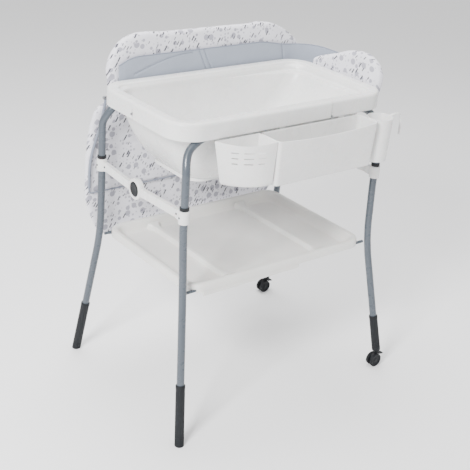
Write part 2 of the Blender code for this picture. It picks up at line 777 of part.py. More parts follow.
def lining_plan(inset):
    """Plan of the grey lining: along the rear, round the rear right corner and down the side."""
    start = (-0.300, RIM_Y + 0.002 + inset)
    corner_x = BAND_CORNER_X
    corner_y = RIM_Y + 0.002 - BAND_CORNER_R
    radius = BAND_CORNER_R + inset
    arc = [math.radians(90 - 7.5 * k) for k in range(13)]
    turn = [(corner_x + radius * math.cos(a), corner_y + radius * math.sin(a)) for a in arc]
    return [start] + turn + [(corner_x + radius, BAND_END_Y)]


def bolsters():
    base = RIM_LOW + 0.0005
    shape = [(-0.322, base), (0.404, base), (0.404, 0.950), (0.344, 1.006), (0.262, 1.042),
             (-0.228, 1.047), (-0.288, 1.026), (-0.332, 0.962)]
    rear = plate("bolster_rear",
                 [rounded(shape, [0.03, 0.03, 0.05, 0.08, 0.08, 0.08, 0.05, 0.06], 5)],
                 PAD_T, "print")
    face_front(rear, 0, PAD_Y, 0)
    plan = lining_plan(0.0) + list(reversed(lining_plan(BAND_T)))
    band = plate("mat_lining", [plan], BAND_TOP - BAND_LOW, "grey")
    band.location = (0, 0, (BAND_LOW + BAND_TOP) / 2)
    shape = [(-0.146, base), (0.153, base), (0.155, 0.930), (0.118, 0.947), (0.050, 0.971),
             (0.000, 0.991), (-0.078, 1.004), (-0.132, 0.984), (-0.158, 0.945)]
    right = plate("bolster_right",
                  [rounded(shape, [0.03, 0.01, 0.01, 0.2, 0.2, 0.08, 0.05, 0.04, 0.04], 4)],
                  PAD_T, "print")
    face_side(right, RIM_X + 0.002 + GAP + PAD_T / 2, 0, 0)


def caster(tag, sy):
    """A twin-wheel swivel caster with a brake lever under a right-hand leg."""
    at = leg_axis(1, sy, CASTER_X, CASTER_TOP)
    hub = bpy.data.objects.new("caster_%s_swivel" % tag, None)
    PARTS.objects.link(hub)
    hub.location = (at.x, at.y, 0)
    web = rounded([(-0.0165, WHEEL_R - 0.006), (-0.001, WHEEL_R - 0.009), (0.0065, 0.030),
                   (0.0065, 0.0475), (-0.0100, 0.0475), (-0.0215, 0.034)],
                  [0.006, 0.006, 0.006, 0.002, 0.006, 0.008], 4)
    bore = circle(0.0033, 16, (-WHEEL_TRAIL, WHEEL_R))
    fork = plate("web_cut", [web, bore], 0.008, "dark")
    fork.rotation_euler = (math.pi / 2, 0, 0)
    bpy.context.view_layer.update()
    mesh = bpy.data.meshes.new_from_object(fork.evaluated_get(bpy.context.evaluated_depsgraph_get()))
    mesh.transform(fork.matrix_world)
    bpy.data.objects.remove(fork)
    weld(mesh)
    mesh.materials.clear()
    body = add("caster_housing_" + tag, mesh, "dark", hub)
    neck = cutter("neck_" + tag, rod_mesh("neck_" + tag, (0, 0, 0.0464), (0, 0, CASTER_TOP), 0.0065))
    neck.parent = hub
    boolean(body, neck, "UNION")
    smooth(body)
    spin = (math.pi / 2, 0, 0)
    axle = add("caster_axle_" + tag, rod_mesh("axle_" + tag, (0, 0, -0.0132), (0, 0, 0.0132), 0.0030),
               "steel", hub)
    axle.location = (-WHEEL_TRAIL, 0, WHEEL_R)
    axle.rotation_euler = spin
    smooth(axle)
    edge = 0.0018
    for side, low in (("outer", 0.0043), ("inner", -0.0043 - WHEEL_W)):
        high = low + WHEEL_W
        profile = [(0.0033, high), (WHEEL_R - edge, high), (WHEEL_R, high - edge),
                   (WHEEL_R, low + edge), (WHEEL_R - edge, low), (0.0033, low)]
        wheel = turned("caster_wheel_%s_%s" % (tag, side), profile, "rubber", 28, hub)
        wheel.location = (-WHEEL_TRAIL, 0, WHEEL_R)
        wheel.rotation_euler = spin
        smooth(wheel)
    lever = rounded([(0.0071, 0.0395), (0.0255, 0.0370), (0.0265, 0.0400), (0.0071, 0.0445)],
                    [0.001, 0.0012, 0.0012, 0.001], 3)
    pedal = plate("caster_brake_" + tag, [lever], 0.016, "dark", hub)
    pedal.rotation_euler = (math.pi / 2, 0, 0)


def build():
    bow("bow_front", -1)
    bow("bow_rear", 1)
    legs_and_sleeves()
    side_braces()
    cross_rods()
    shelf_tray()
    bath()
    rim_pins()
    drain_plug()
    organizer_box()
    slatted_box()
    cup()
    hangers()
    mat()
    mat_hinge()
    bolsters()
    caster("front", -1)
    caster("rear", 1)


clear_scene()
PARTS = collection(OBJECT_NAME)
CUTTERS = collection("cutters")
build()
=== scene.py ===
"""The finished changing table: painted tube frame, moulded bath and trays, and a padded printed mat."""
import json
import logging
import math
from dataclasses import dataclass, field
from enum import Enum

import bmesh
import bpy
from mathutils import Matrix, Vector
from mathutils.noise import noise


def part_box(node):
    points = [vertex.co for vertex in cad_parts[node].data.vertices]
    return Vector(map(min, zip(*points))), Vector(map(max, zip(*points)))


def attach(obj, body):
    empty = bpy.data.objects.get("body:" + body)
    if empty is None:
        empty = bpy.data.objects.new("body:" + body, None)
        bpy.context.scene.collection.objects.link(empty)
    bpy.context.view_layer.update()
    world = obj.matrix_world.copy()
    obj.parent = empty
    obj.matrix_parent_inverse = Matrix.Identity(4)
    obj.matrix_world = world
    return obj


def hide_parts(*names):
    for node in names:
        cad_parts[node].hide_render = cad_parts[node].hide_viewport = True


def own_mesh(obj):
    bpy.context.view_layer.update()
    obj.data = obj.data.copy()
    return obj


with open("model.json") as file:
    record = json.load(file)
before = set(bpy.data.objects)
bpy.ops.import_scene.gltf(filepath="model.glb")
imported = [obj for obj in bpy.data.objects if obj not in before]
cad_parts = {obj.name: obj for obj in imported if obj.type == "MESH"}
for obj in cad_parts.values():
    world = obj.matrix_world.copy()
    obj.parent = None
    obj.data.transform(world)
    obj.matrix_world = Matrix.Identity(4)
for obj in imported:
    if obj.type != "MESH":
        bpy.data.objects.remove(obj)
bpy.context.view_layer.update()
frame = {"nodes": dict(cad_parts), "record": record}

LOG = logging.getLogger("changing_table")
Point = tuple[float, float, float]
Flat = tuple[float, float]


class Facing(Enum):
    """The plane that a flat outline stands in."""

    FRONT = "XZ"
    SIDE = "YZ"


class Slot(Enum):
    """The record's material slots."""

    PAINT = "painted_steel"
    WHITE = "white_plastic"
    CREAM = "cream_plastic"
    DARK = "dark_plastic"
    RUBBER = "rubber"
    STEEL = "steel"
    PRINT = "printed_fabric"
    LINING = "grey_fabric"


# ---------------------------------------------------------------- finishes

class Graph:
    """A material's node tree, with short ways to add and join nodes."""

    def __init__(self, name: str) -> None:
        """Starts a material that holds one Principled shader."""
        self.material = bpy.data.materials.new(name)
        self.material.use_nodes = True
        self.tree = self.material.node_tree
        self.shader = self.tree.nodes["Principled BSDF"]

    def add(self, kind: str, inputs: dict | None = None, **settings: object) -> bpy.types.Node:
        """Adds a node.

        Args:
            kind: the node's type without its ShaderNode prefix.
            inputs: input name or index, to a value or to another node's output.
            settings: the node's own properties.

        Returns:
            The new node.
        """
        node = self.tree.nodes.new("ShaderNode" + kind)
        for key, value in settings.items():
            setattr(node, key, value)
        for key, value in (inputs or {}).items():
            self.put(node, key, value)
        return node

    def put(self, node: bpy.types.Node, key: str | int, value: object) -> None:
        """Sets an input to a value, or links it when the value is another node's output."""
        if isinstance(value, bpy.types.NodeSocket):
            self.tree.links.new(value, node.inputs[key])
        else:
            node.inputs[key].default_value = value

    def math(self, operation: str, a: object, b: object = 0.0) -> bpy.types.NodeSocket:
        """Returns the output of a Math node on two values or sockets."""
        return self.add("Math", {0: a, 1: b}, operation=operation).outputs[0]

    def ramp(self, value: object, low: float, high: float,
             out_low: float = 0.0, out_high: float = 1.0) -> bpy.types.NodeSocket:
        """Returns a clamped smooth mapping of a value from one range to another."""
        inputs = {"Value": value, "From Min": low, "From Max": high,
                  "To Min": out_low, "To Max": out_high}
        return self.add("MapRange", inputs, interpolation_type="SMOOTHSTEP").outputs[0]

    def blend(self, factor: object, a: object, b: object) -> bpy.types.NodeSocket:
        """Returns the colour between two colours at a factor."""
        node = self.add("Mix", {}, data_type="RGBA")
        self.put(node, 0, factor)
        self.put(node, 6, a)
        self.put(node, 7, b)
        return node.outputs[2]

    def noise(self, coords: object, scale: float, detail: float = 2.0) -> bpy.types.NodeSocket:
        """Returns a noise texture's value at some coordinates."""
        return self.add("TexNoise", {"Vector": coords, "Scale": scale, "Detail": detail}).outputs[0]

    def coords(self) -> bpy.types.NodeSocket:
        """Returns the object's own coordinates, in metres."""
        return self.add("TexCoord").outputs["Object"]

    def bump(self, height: object, distance: float, strength: float = 1.0,
             under: object = None) -> bpy.types.NodeSocket:
        """Returns a bumped normal, laid over another one when it is given."""
        inputs = {"Height": height, "Distance": distance, "Strength": strength}
        if under is not None:
            inputs["Normal"] = under
        return self.add("Bump", inputs).outputs[0]

    def shade(self, **inputs: object) -> None:
        """Sets the shader's inputs, their names given with underscores."""
        for key, value in inputs.items():
            self.put(self.shader, key.replace("_", " "), value)


def rgb(red: float, green: float, blue: float) -> tuple[float, float, float, float]:
    """Returns a linear colour from display values between 0 and 255."""
    def linear(value: float) -> float:
        """Returns one channel in linear light."""
        part = value / 255
        return part / 12.92 if part <= 0.04045 else ((part + 0.055) / 1.055) ** 2.4

    return linear(red), linear(green), linear(blue), 1.0


@dataclass(frozen=True)
class Moulded:
    """A moulded plastic: nearly even colour, a soft sheen and a faint flow texture."""

    name: str
    colour: tuple[float, float, float, float]
    roughness: float = 0.30
    grain: float = 0.00006
    grain_scale: float = 900.0
    scatter: float = 0.0
    shine: float = 0.5

    def make(self) -> bpy.types.Material:
        """Returns the material."""
        g = Graph(self.name)
        place = g.coords()
        cloud = g.noise(place, 7.0, 3.0)
        darker = tuple(c * 0.93 for c in self.colour[:3]) + (1.0,)
        g.shade(Base_Color=g.blend(g.ramp(cloud, 0.35, 0.7), darker, self.colour))
        g.shade(Roughness=g.ramp(g.noise(place, 26.0, 4.0), 0.3, 0.7,
                                 self.roughness - 0.05, self.roughness + 0.07))
        flow = g.bump(g.noise(place, 38.0, 2.0), 0.0004, 0.25)
        g.shade(Normal=g.bump(g.noise(place, self.grain_scale, 2.0), self.grain, 0.6, flow))
        g.shade(Specular_IOR_Level=self.shine)
        if self.scatter:
            g.shade(Subsurface_Weight=self.scatter, Subsurface_Scale=0.004)
        return g.material


@dataclass(frozen=True)
class Painted:
    """Gloss enamel on steel tube: slight orange peel, and dust-dulled streaks along the tube."""

    name: str
    colour: tuple[float, float, float, float]

    def make(self) -> bpy.types.Material:
        """Returns the material."""
        g = Graph(self.name)
        place = g.coords()
        cloud = g.noise(place, 14.0, 4.0)
        paler = tuple(min(1.0, c * 1.12) for c in self.colour[:3]) + (1.0,)
        g.shade(Base_Color=g.blend(g.ramp(cloud, 0.3, 0.75), self.colour, paler))
        g.shade(Roughness=g.ramp(g.noise(place, 45.0, 5.0), 0.3, 0.75, 0.24, 0.38))
        g.shade(Metallic=0.10, Coat_Weight=0.30, Coat_Roughness=0.12, Specular_IOR_Level=0.4)
        g.shade(Normal=g.bump(g.noise(place, 420.0, 1.0), 0.00012, 0.5))
        return g.material


@dataclass(frozen=True)
class Steel:
    """Bright drawn steel with fine lengthwise scratches."""

    name: str
    colour: tuple[float, float, float, float]

    def make(self) -> bpy.types.Material:
        """Returns the material."""
        g = Graph(self.name)
        place = g.coords()
        stretch = g.add("Mapping", {"Vector": place, "Scale": (30.0, 900.0, 900.0)}).outputs[0]
        scratch = g.noise(stretch, 1.0, 4.0)
        g.shade(Base_Color=self.colour, Metallic=1.0)
        g.shade(Roughness=g.ramp(scratch, 0.3, 0.7, 0.20, 0.42))
        g.shade(Normal=g.bump(scratch, 0.00005, 0.5))
        return g.material


@dataclass(frozen=True)
class Rubber:
    """Matt rubber with a fine pitted skin and paler scuffs."""

    name: str
    colour: tuple[float, float, float, float]

    def make(self) -> bpy.types.Material:
        """Returns the material."""
        g = Graph(self.name)
        place = g.coords()
        scuff = g.ramp(g.noise(place, 60.0, 6.0), 0.55, 0.75)
        pale = tuple(min(1.0, c * 1.9) for c in self.colour[:3]) + (1.0,)
        g.shade(Base_Color=g.blend(scuff, self.colour, pale))
        g.shade(Roughness=g.ramp(scuff, 0.0, 1.0, 0.62, 0.82), Specular_IOR_Level=0.25)
        g.shade(Normal=g.bump(g.noise(place, 700.0, 3.0), 0.00015, 0.6))
        return g.material


@dataclass(frozen=True)
class Cloth:
    """Woven cotton; the printed version carries pale dots of several sizes and short dark dashes."""

    name: str
    ground: tuple[float, float, float, float]
    printed: bool = False
    facing: Facing = Facing.FRONT
    thread: float = 0.0011
    dot: tuple[float, float, float, float] = rgb(166, 165, 176)
    pale_dot: tuple[float, float, float, float] = rgb(186, 184, 194)
    dash: tuple[float, float, float, float] = rgb(58, 57, 68)

    def flat_coords(self, g: Graph) -> bpy.types.NodeSocket:
        """Returns coordinates that lie in the cloth's plane and wrap over its rounded edges."""
        split = g.add("SeparateXYZ", {0: g.coords()})
        x, y, z = split.outputs
        if self.facing is Facing.SIDE:
            x, y = g.math("MULTIPLY", y, -1.0), x
        across = g.math("ADD", z, y)
        return g.add("CombineXYZ", {0: x, 1: across, 2: 0.0}).outputs[0]

    def spots(self, g: Graph, place: object, scale: float, chance: float,
              small: float, large: float) -> bpy.types.NodeSocket:
        """Returns 1 inside scattered round spots.

        Args:
            g: the material's graph.
            place: coordinates in the cloth's plane.
            scale: cells per metre.
            chance: share of the cells that carry a spot.
            small: smallest radius, as a share of a cell.
            large: largest radius, as a share of a cell.

        Returns:
            The spots' mask.
        """
        inputs = {"Vector": place, "Scale": scale, "Randomness": 0.75}
        cells = g.add("TexVoronoi", inputs, voronoi_dimensions="2D")
        luck = g.add("SeparateColor", {0: cells.outputs["Color"]})
        radius = g.ramp(luck.outputs[1], 0.0, 1.0, small, large)
        shown = g.math("LESS_THAN", luck.outputs[0], chance)
        inside = g.ramp(g.math("SUBTRACT", radius, cells.outputs["Distance"]), -0.01, 0.03)
        return g.math("MULTIPLY", inside, shown)

    def dashes(self, g: Graph, place: object) -> bpy.types.NodeSocket:
        """Returns 1 inside short slanted dashes that gather in clusters."""
        lean = math.radians(30)
        turned = g.add("Mapping", {"Vector": place, "Rotation": (0, 0, lean)}).outputs[0]
        stretched = g.add("Mapping", {"Vector": turned, "Scale": (98.0, 27.0, 1.0)}).outputs[0]
        inputs = {"Vector": stretched, "Scale": 1.0, "Randomness": 0.7}
        cells = g.add("TexVoronoi", inputs, voronoi_dimensions="2D", distance="CHEBYCHEV")
        luck = g.add("SeparateColor", {0: cells.outputs["Color"]})
        spread = g.noise(place, 11.0, 1.0)
        chance = g.ramp(spread, 0.42, 0.60, 0.10, 0.78)
        shown = g.math("LESS_THAN", luck.outputs[0], chance)
        size = g.ramp(luck.outputs[2], 0.0, 1.0, 0.12, 0.23)
        inside = g.ramp(g.math("SUBTRACT", size, cells.outputs["Distance"]), -0.01, 0.02)
        return g.math("MULTIPLY", inside, shown)

    def make(self) -> bpy.types.Material:
        """Returns the material."""
        g = Graph(self.name)
        place = self.flat_coords(g)
        cloud = g.noise(place, 9.0, 4.0)
        deeper = tuple(c * 0.94 for c in self.ground[:3]) + (1.0,)
        colour = g.blend(g.ramp(cloud, 0.3, 0.7), deeper, self.ground)
        if self.printed:
            large = self.spots(g, place, 37.0, 0.62, 0.17, 0.37)
            small = self.spots(g, place, 78.0, 0.50, 0.14, 0.32)
            colour = g.blend(small, colour, self.pale_dot)
            colour = g.blend(large, colour, self.dot)
            colour = g.blend(self.dashes(g, place), colour, self.dash)
        weave = 1 / self.thread
        warp = g.add("TexWave", {"Vector": place, "Scale": weave / 3.2, "Distortion": 0.6,
                                 "Detail": 1.0, "Detail Scale": 2.0}, bands_direction="X")
        weft = g.add("TexWave", {"Vector": place, "Scale": weave / 3.2, "Distortion": 0.6,
                                 "Detail": 1.0, "Detail Scale": 2.0}, bands_direction="Y")
        threads = g.math("ADD", warp.outputs[1], weft.outputs[1])
        shadow = g.ramp(threads, 0.0, 1.6, 0.0, 0.06)
        g.shade(Base_Color=g.blend(shadow, colour, rgb(120, 122, 134)))
        soft = g.bump(g.noise(place, 60.0, 3.0), 0.0012, 0.35)
        g.shade(Normal=g.bump(threads, 0.00012, 0.5, soft))
        g.shade(Roughness=0.86, Sheen_Weight=0.25, Sheen_Roughness=0.45, Specular_IOR_Level=0.25)
        return g.material


@dataclass(frozen=True)
class Finish:
    """A material with the record's slot that it stands for."""

    material: bpy.types.Material
    slot: Slot


class Palette:
    """All the finishes of the table, made once and shared by the pieces."""

    def __init__(self) -> None:
        """Makes every material."""
        white, grey = rgb(229, 229, 228), rgb(232, 231, 238)
        self.paint = Finish(Painted("enamel_blue_grey", rgb(72, 79, 87)).make(), Slot.PAINT)
        self.white = Finish(Moulded("white_polypropylene", white, 0.27, scatter=0.06).make(), Slot.WHITE)
        self.shelf = Finish(Moulded("warm_white_polypropylene", rgb(231, 230, 226), 0.33,
                                    scatter=0.06).make(), Slot.CREAM)
        self.dark = Finish(Moulded("charcoal_nylon", rgb(27, 29, 32), 0.52, grain=0.0002,
                                   shine=0.28).make(), Slot.DARK)
        self.rubber = Finish(Rubber("charcoal_rubber", rgb(25, 27, 30)).make(), Slot.RUBBER)
        self.steel = Finish(Steel("bright_steel", rgb(168, 170, 174)).make(), Slot.STEEL)
        self.print_front = Finish(Cloth("printed_cotton", grey, True).make(), Slot.PRINT)
        self.print_side = Finish(Cloth("printed_cotton_side", grey, True, Facing.SIDE).make(), Slot.PRINT)
        self.lining = Finish(Cloth("grey_lining", rgb(154, 161, 174)).make(), Slot.LINING)
        self.binding = Finish(Cloth("grey_binding", rgb(132, 138, 152), thread=0.0007).make(),
                              Slot.LINING)

    def of_slot(self, slot: Slot) -> Finish:
        """Returns the finish of a record's slot."""
        shared = (self.paint, self.white, self.shelf, self.dark, self.rubber, self.steel,
                  self.print_front, self.lining)
        return next(finish for finish in shared if finish.slot is slot)


# ---------------------------------------------------------------- mesh tools

def new_piece(name: str, mesh: bpy.types.Mesh, finish: Finish, body: str,
              replaced: tuple[str, ...] = ()) -> bpy.types.Object:
    """Links a piece, dresses it and lets it ride on its body.

    Args:
        name: the piece's name.
        mesh: its mesh.
        finish: its material and the record's slot that it stands for.
        body: the CAD body that it rides on.
        replaced: the CAD nodes that it stands for.

    Returns:
        The new object.
    """
    obj = bpy.data.objects.new(name, mesh)
    bpy.context.scene.collection.objects.link(obj)
    obj.data.materials.append(finish.material)
    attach(obj, body)
    if replaced:
        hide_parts(*replaced)
    LOG.info("%s rides on %s", name, body)
    return obj


def finish_mesh(bm: bmesh.types.BMesh, name: str, sharp: float = 40.0) -> bpy.types.Mesh:
    """Returns a smooth-shaded mesh from a bmesh, its faces turned outwards."""
    bmesh.ops.recalc_face_normals(bm, faces=bm.faces)
    mesh = bpy.data.meshes.new(name)
    bm.to_mesh(mesh)
    bm.free()
    mesh.shade_smooth()
    mesh.set_sharp_from_angle(angle=math.radians(sharp))
    return mesh


def skin(rings: list[list[Point]], name: str, sharp: float = 40.0,
         cap_inset: float = 0.004) -> bpy.types.Mesh:
    """Skins rings of equal length in order and caps the first and last.

    Args:
        rings: the rings, in order.
        name: the mesh's name.
        sharp: the angle in degrees above which an edge stays crisp.
        cap_inset: how far inside each cap a second loop lies, or 0 for none.

    Returns:
        The closed mesh.
    """
    bm = bmesh.new()
    loops = [[bm.verts.new(p) for p in ring] for ring in rings]
    for low, high in zip(loops, loops[1:]):
        for i in range(len(low)):
            j = (i + 1) % len(low)
            bm.faces.new((low[i], low[j], high[j], high[i]))
    for loop in (loops[0], loops[-1]):
        cap = bm.faces.new(loop)
        if cap_inset:
            bmesh.ops.inset_region(bm, faces=[cap], thickness=cap_inset)
    return finish_mesh(bm, name, sharp)


def round_rect(half_x: float, half_y: float, radius: float, z: float, cx: float = 0.0,
               cy: float = 0.0, corner: int = 14, side: int = 12,
               stops: tuple[tuple[float, ...], tuple[float, ...]] | None = None) -> list[Point]:
    """Returns a loop of points round a rectangle with round corners, at one height.

    Args:
        half_x: half its width.
        half_y: half its depth.
        radius: its corners' radius.
        z: its height.
        cx: its middle's x.
        cy: its middle's y.
        corner: spans in each corner.
        side: spans along each side.
        stops: for the left and front sides, the shares of their length to put points at instead.

    Returns:
        The points, anticlockwise from the right-hand end of the rear right corner.
    """
    loop: list[Point] = []
    centres = [(1, 1, 0), (-1, 1, 90), (-1, -1, 180), (1, -1, 270)]
    for index, (sx, sy, start) in enumerate(centres):
        for k in range(corner + 1):
            a = math.radians(start + 90 * k / corner)
            loop.append((cx + sx * (half_x - radius) + radius * math.cos(a),
                         cy + sy * (half_y - radius) + radius * math.sin(a), z))
        nx, ny, turn = centres[(index + 1) % 4]
        a = math.radians(turn)
        follow = (cx + nx * (half_x - radius) + radius * math.cos(a),
                  cy + ny * (half_y - radius) + radius * math.sin(a))
        here = loop[-1]
        shares = [k / side for k in range(1, side)]
        if stops and index in (1, 2):
            shares = stops[index - 1]
        for t in shares:
            loop.append((here[0] + (follow[0] - here[0]) * t, here[1] + (follow[1] - here[1]) * t, z))
    return loop


def eased(points: list[Vector], reach: float, steps: int = 10) -> list[Vector]:
    """Returns a path whose inner corners are eased over the given reach on each side."""
    path = [points[0]]
    for before, here, after in zip(points, points[1:], points[2:]):
        start = here + (before - here).normalized() * reach
        end = here + (after - here).normalized() * reach
        for k in range(steps + 1):
            t = k / steps
            path.append(start * (1 - t) ** 2 + here * 2 * t * (1 - t) + end * t * t)
    path.append(points[-1])
    return path


def pipe(name: str, path: list[Vector], radius: float, sides: int = 32) -> bpy.types.Mesh:
    """Returns a round tube along a path as a closed mesh."""
    rings: list[list[Point]] = []
    side_axis = path[1] - path[0]
    for i, here in enumerate(path):
        before = path[max(0, i - 1)]
        after = path[min(len(path) - 1, i + 1)]
        along = (after - before).normalized()
        if not rings:
            side_axis = along.orthogonal().normalized()
        side_axis = (side_axis - along * side_axis.dot(along)).normalized()
        up = along.cross(side_axis)
        turns = [2 * math.pi * k / sides for k in range(sides)]
        rings.append([tuple(here + radius * (side_axis * math.cos(a) + up * math.sin(a)))
                      for a in turns])
    return skin(rings, name, 50, 0.0)


def lathe(name: str, profile: list[Flat], origin: Vector, axis: Vector,
          steps: int = 48) -> bpy.types.Mesh:
    """Returns a turned mesh of (radius, height) pairs about an axis through an origin."""
    place = Matrix.Translation(origin) @ axis.to_track_quat("Z", "Y").to_matrix().to_4x4()
    bm = bmesh.new()
    loops = []
    for radius, height in profile:
        if radius < 1e-6:
            loops.append([bm.verts.new(place @ Vector((0, 0, height)))])
            continue
        turns = [2 * math.pi * k / steps for k in range(steps)]
        loops.append([bm.verts.new(place @ Vector((radius * math.cos(a), radius * math.sin(a), height)))
                      for a in turns])
    pairs = list(zip(loops, loops[1:]))
    if profile[0][0] > 1e-6:
        pairs.append((loops[-1], loops[0]))
    for low, high in pairs:
        for k in range(steps):
            n = (k + 1) % steps
            corners = [low[k % len(low)], low[n % len(low)], high[n % len(high)], high[k % len(high)]]
            face = list(dict.fromkeys(corners))
            if len(face) > 2:
                bm.faces.new(face)
    return finish_mesh(bm, name, 35)


def trim_below(mesh: bpy.types.Mesh, height: float) -> None:
    """Cuts a mesh off flat at a height and closes the cut."""
    bm = bmesh.new()
    bm.from_mesh(mesh)
    cut = bmesh.ops.bisect_plane(bm, geom=bm.verts[:] + bm.edges[:] + bm.faces[:],
                                 plane_co=(0, 0, height), plane_no=(0, 0, -1), clear_outer=True)
    edges = [e for e in cut["geom_cut"] if isinstance(e, bmesh.types.BMEdge)]
    bmesh.ops.holes_fill(bm, edges=edges)
    bm.to_mesh(mesh)
    bm.free()
    mesh.shade_smooth()
    mesh.set_sharp_from_angle(angle=math.radians(35))


def eased_outline(points: list[Flat], radii: list[float], steps: int = 8) -> list[Flat]:
    """Returns a flat outline with each corner replaced by an arc-like curve."""
    outline: list[Flat] = []
    count = len(points)
    for i, corner in enumerate(points):
        here = Vector(corner)
        before = Vector(points[i - 1]) - here
        after = Vector(points[(i + 1) % count]) - here
        reach = min(radii[i], before.length * 0.48, after.length * 0.48)
        start = here + before.normalized() * reach
        end = here + after.normalized() * reach
        for k in range(steps + 1):
            t = k / steps
            outline.append(tuple(start * (1 - t) ** 2 + here * 2 * t * (1 - t) + end * t * t))
    return outline


def add_modifier(obj: bpy.types.Object, kind: str, **settings: object) -> bpy.types.Modifier:
    """Adds a modifier and sets its properties."""
    mod = obj.modifiers.new(kind.lower(), kind)
    for key, value in settings.items():
        setattr(mod, key, value)
    return mod


def bake(obj: bpy.types.Object) -> None:
    """Applies all of an object's modifiers to its mesh."""
    graph = bpy.context.evaluated_depsgraph_get()
    mesh = bpy.data.meshes.new_from_object(obj.evaluated_get(graph))
    obj.modifiers.clear()
    obj.data = mesh


def carve(obj: bpy.types.Object, blocks: list[Matrix]) -> None:
    """Cuts blocks out of a piece.

    Args:
        obj: the piece.
        blocks: for each block, the matrix that makes it from a unit cube.
    """
    bm = bmesh.new()
    for block in blocks:
        bmesh.ops.create_cube(bm, size=1.0, matrix=block)
    mesh = bpy.data.meshes.new(obj.name + "_cut")
    bm.to_mesh(mesh)
    bm.free()
    tool = bpy.data.objects.new(obj.name + "_cut", mesh)
    bpy.context.scene.collection.objects.link(tool)
    add_modifier(obj, "BOOLEAN", operation="DIFFERENCE", object=tool, solver="EXACT")
    bake(obj)
    bpy.data.objects.remove(tool)


# ---------------------------------------------------------------- studio

@dataclass
class Studio:
    """The camera, a pale floor and soft lights."""

    eye: Point = (-1.6600, -2.0407, 1.6873)
    heading: float = 39.1
    tilt: float = 25.3
    roll: float = 4.41
    lens: float = 71.9
    floor_size: float = 14.0

    def camera(self) -> None:
        """Places the camera and makes it the scene's own."""
        yaw, pitch, roll = (math.radians(a) for a in (self.heading, self.tilt, self.roll))
        ahead = Vector((math.sin(yaw) * math.cos(pitch), math.cos(yaw) * math.cos(pitch),
                        -math.sin(pitch)))
        right = Vector((math.cos(yaw), -math.sin(yaw), 0))
        up = right.cross(ahead)
        side = right * math.cos(roll) + up * math.sin(roll)
        top = up * math.cos(roll) - right * math.sin(roll)
        data = bpy.data.cameras.new("camera")
        data.lens = self.lens
        data.sensor_width = 36.0
        camera = bpy.data.objects.new("camera", data)
        bpy.context.scene.collection.objects.link(camera)
        camera.matrix_world = Matrix((
            (side.x, top.x, -ahead.x, self.eye[0]), (side.y, top.y, -ahead.y, self.eye[1]),
            (side.z, top.z, -ahead.z, self.eye[2]), (0, 0, 0, 1)))
        bpy.context.scene.camera = camera

    def light(self, name: str, place: Point, size: float, power: float) -> None:
        """Adds a soft square light that looks at the table."""
        data = bpy.data.lights.new(name, "AREA")
        data.size = size
        data.energy = power
        obj = bpy.data.objects.new(name, data)
        bpy.context.scene.collection.objects.link(obj)
        obj.location = place
        aim = Vector((0, 0, 0.55)) - Vector(place)
        obj.rotation_euler = aim.to_track_quat("-Z", "Y").to_euler()

    def build(self) -> None:
        """Makes the camera, the floor, the world and the lights."""
        self.camera()
        g = Graph("studio_floor")
        g.shade(Base_Color=rgb(251, 251, 252), Roughness=0.75, Specular_IOR_Level=0.2)
        bm = bmesh.new()
        bmesh.ops.create_grid(bm, x_segments=1, y_segments=1, size=self.floor_size)
        mesh = bpy.data.meshes.new("floor")
        bm.to_mesh(mesh)
        bm.free()
        mesh.materials.append(g.material)
        floor = bpy.data.objects.new("floor", mesh)
        floor.location = (0, 0, -0.0005)
        bpy.context.scene.collection.objects.link(floor)
        world = bpy.data.worlds.new("studio_world")
        world.use_nodes = True
        background = world.node_tree.nodes["Background"]
        background.inputs[0].default_value = (1.0, 1.0, 1.0, 1.0)
        background.inputs[1].default_value = 1.0
        bpy.context.scene.world = world
        self.light("key", (-2.6, -1.2, 2.6), 0.9, 200.0)
        self.light("fill", (2.4, -2.2, 1.8), 2.2, 14.0)
        self.light("top", (0.3, 0.8, 3.2), 1.6, 90.0)


# ---------------------------------------------------------------- tube frame

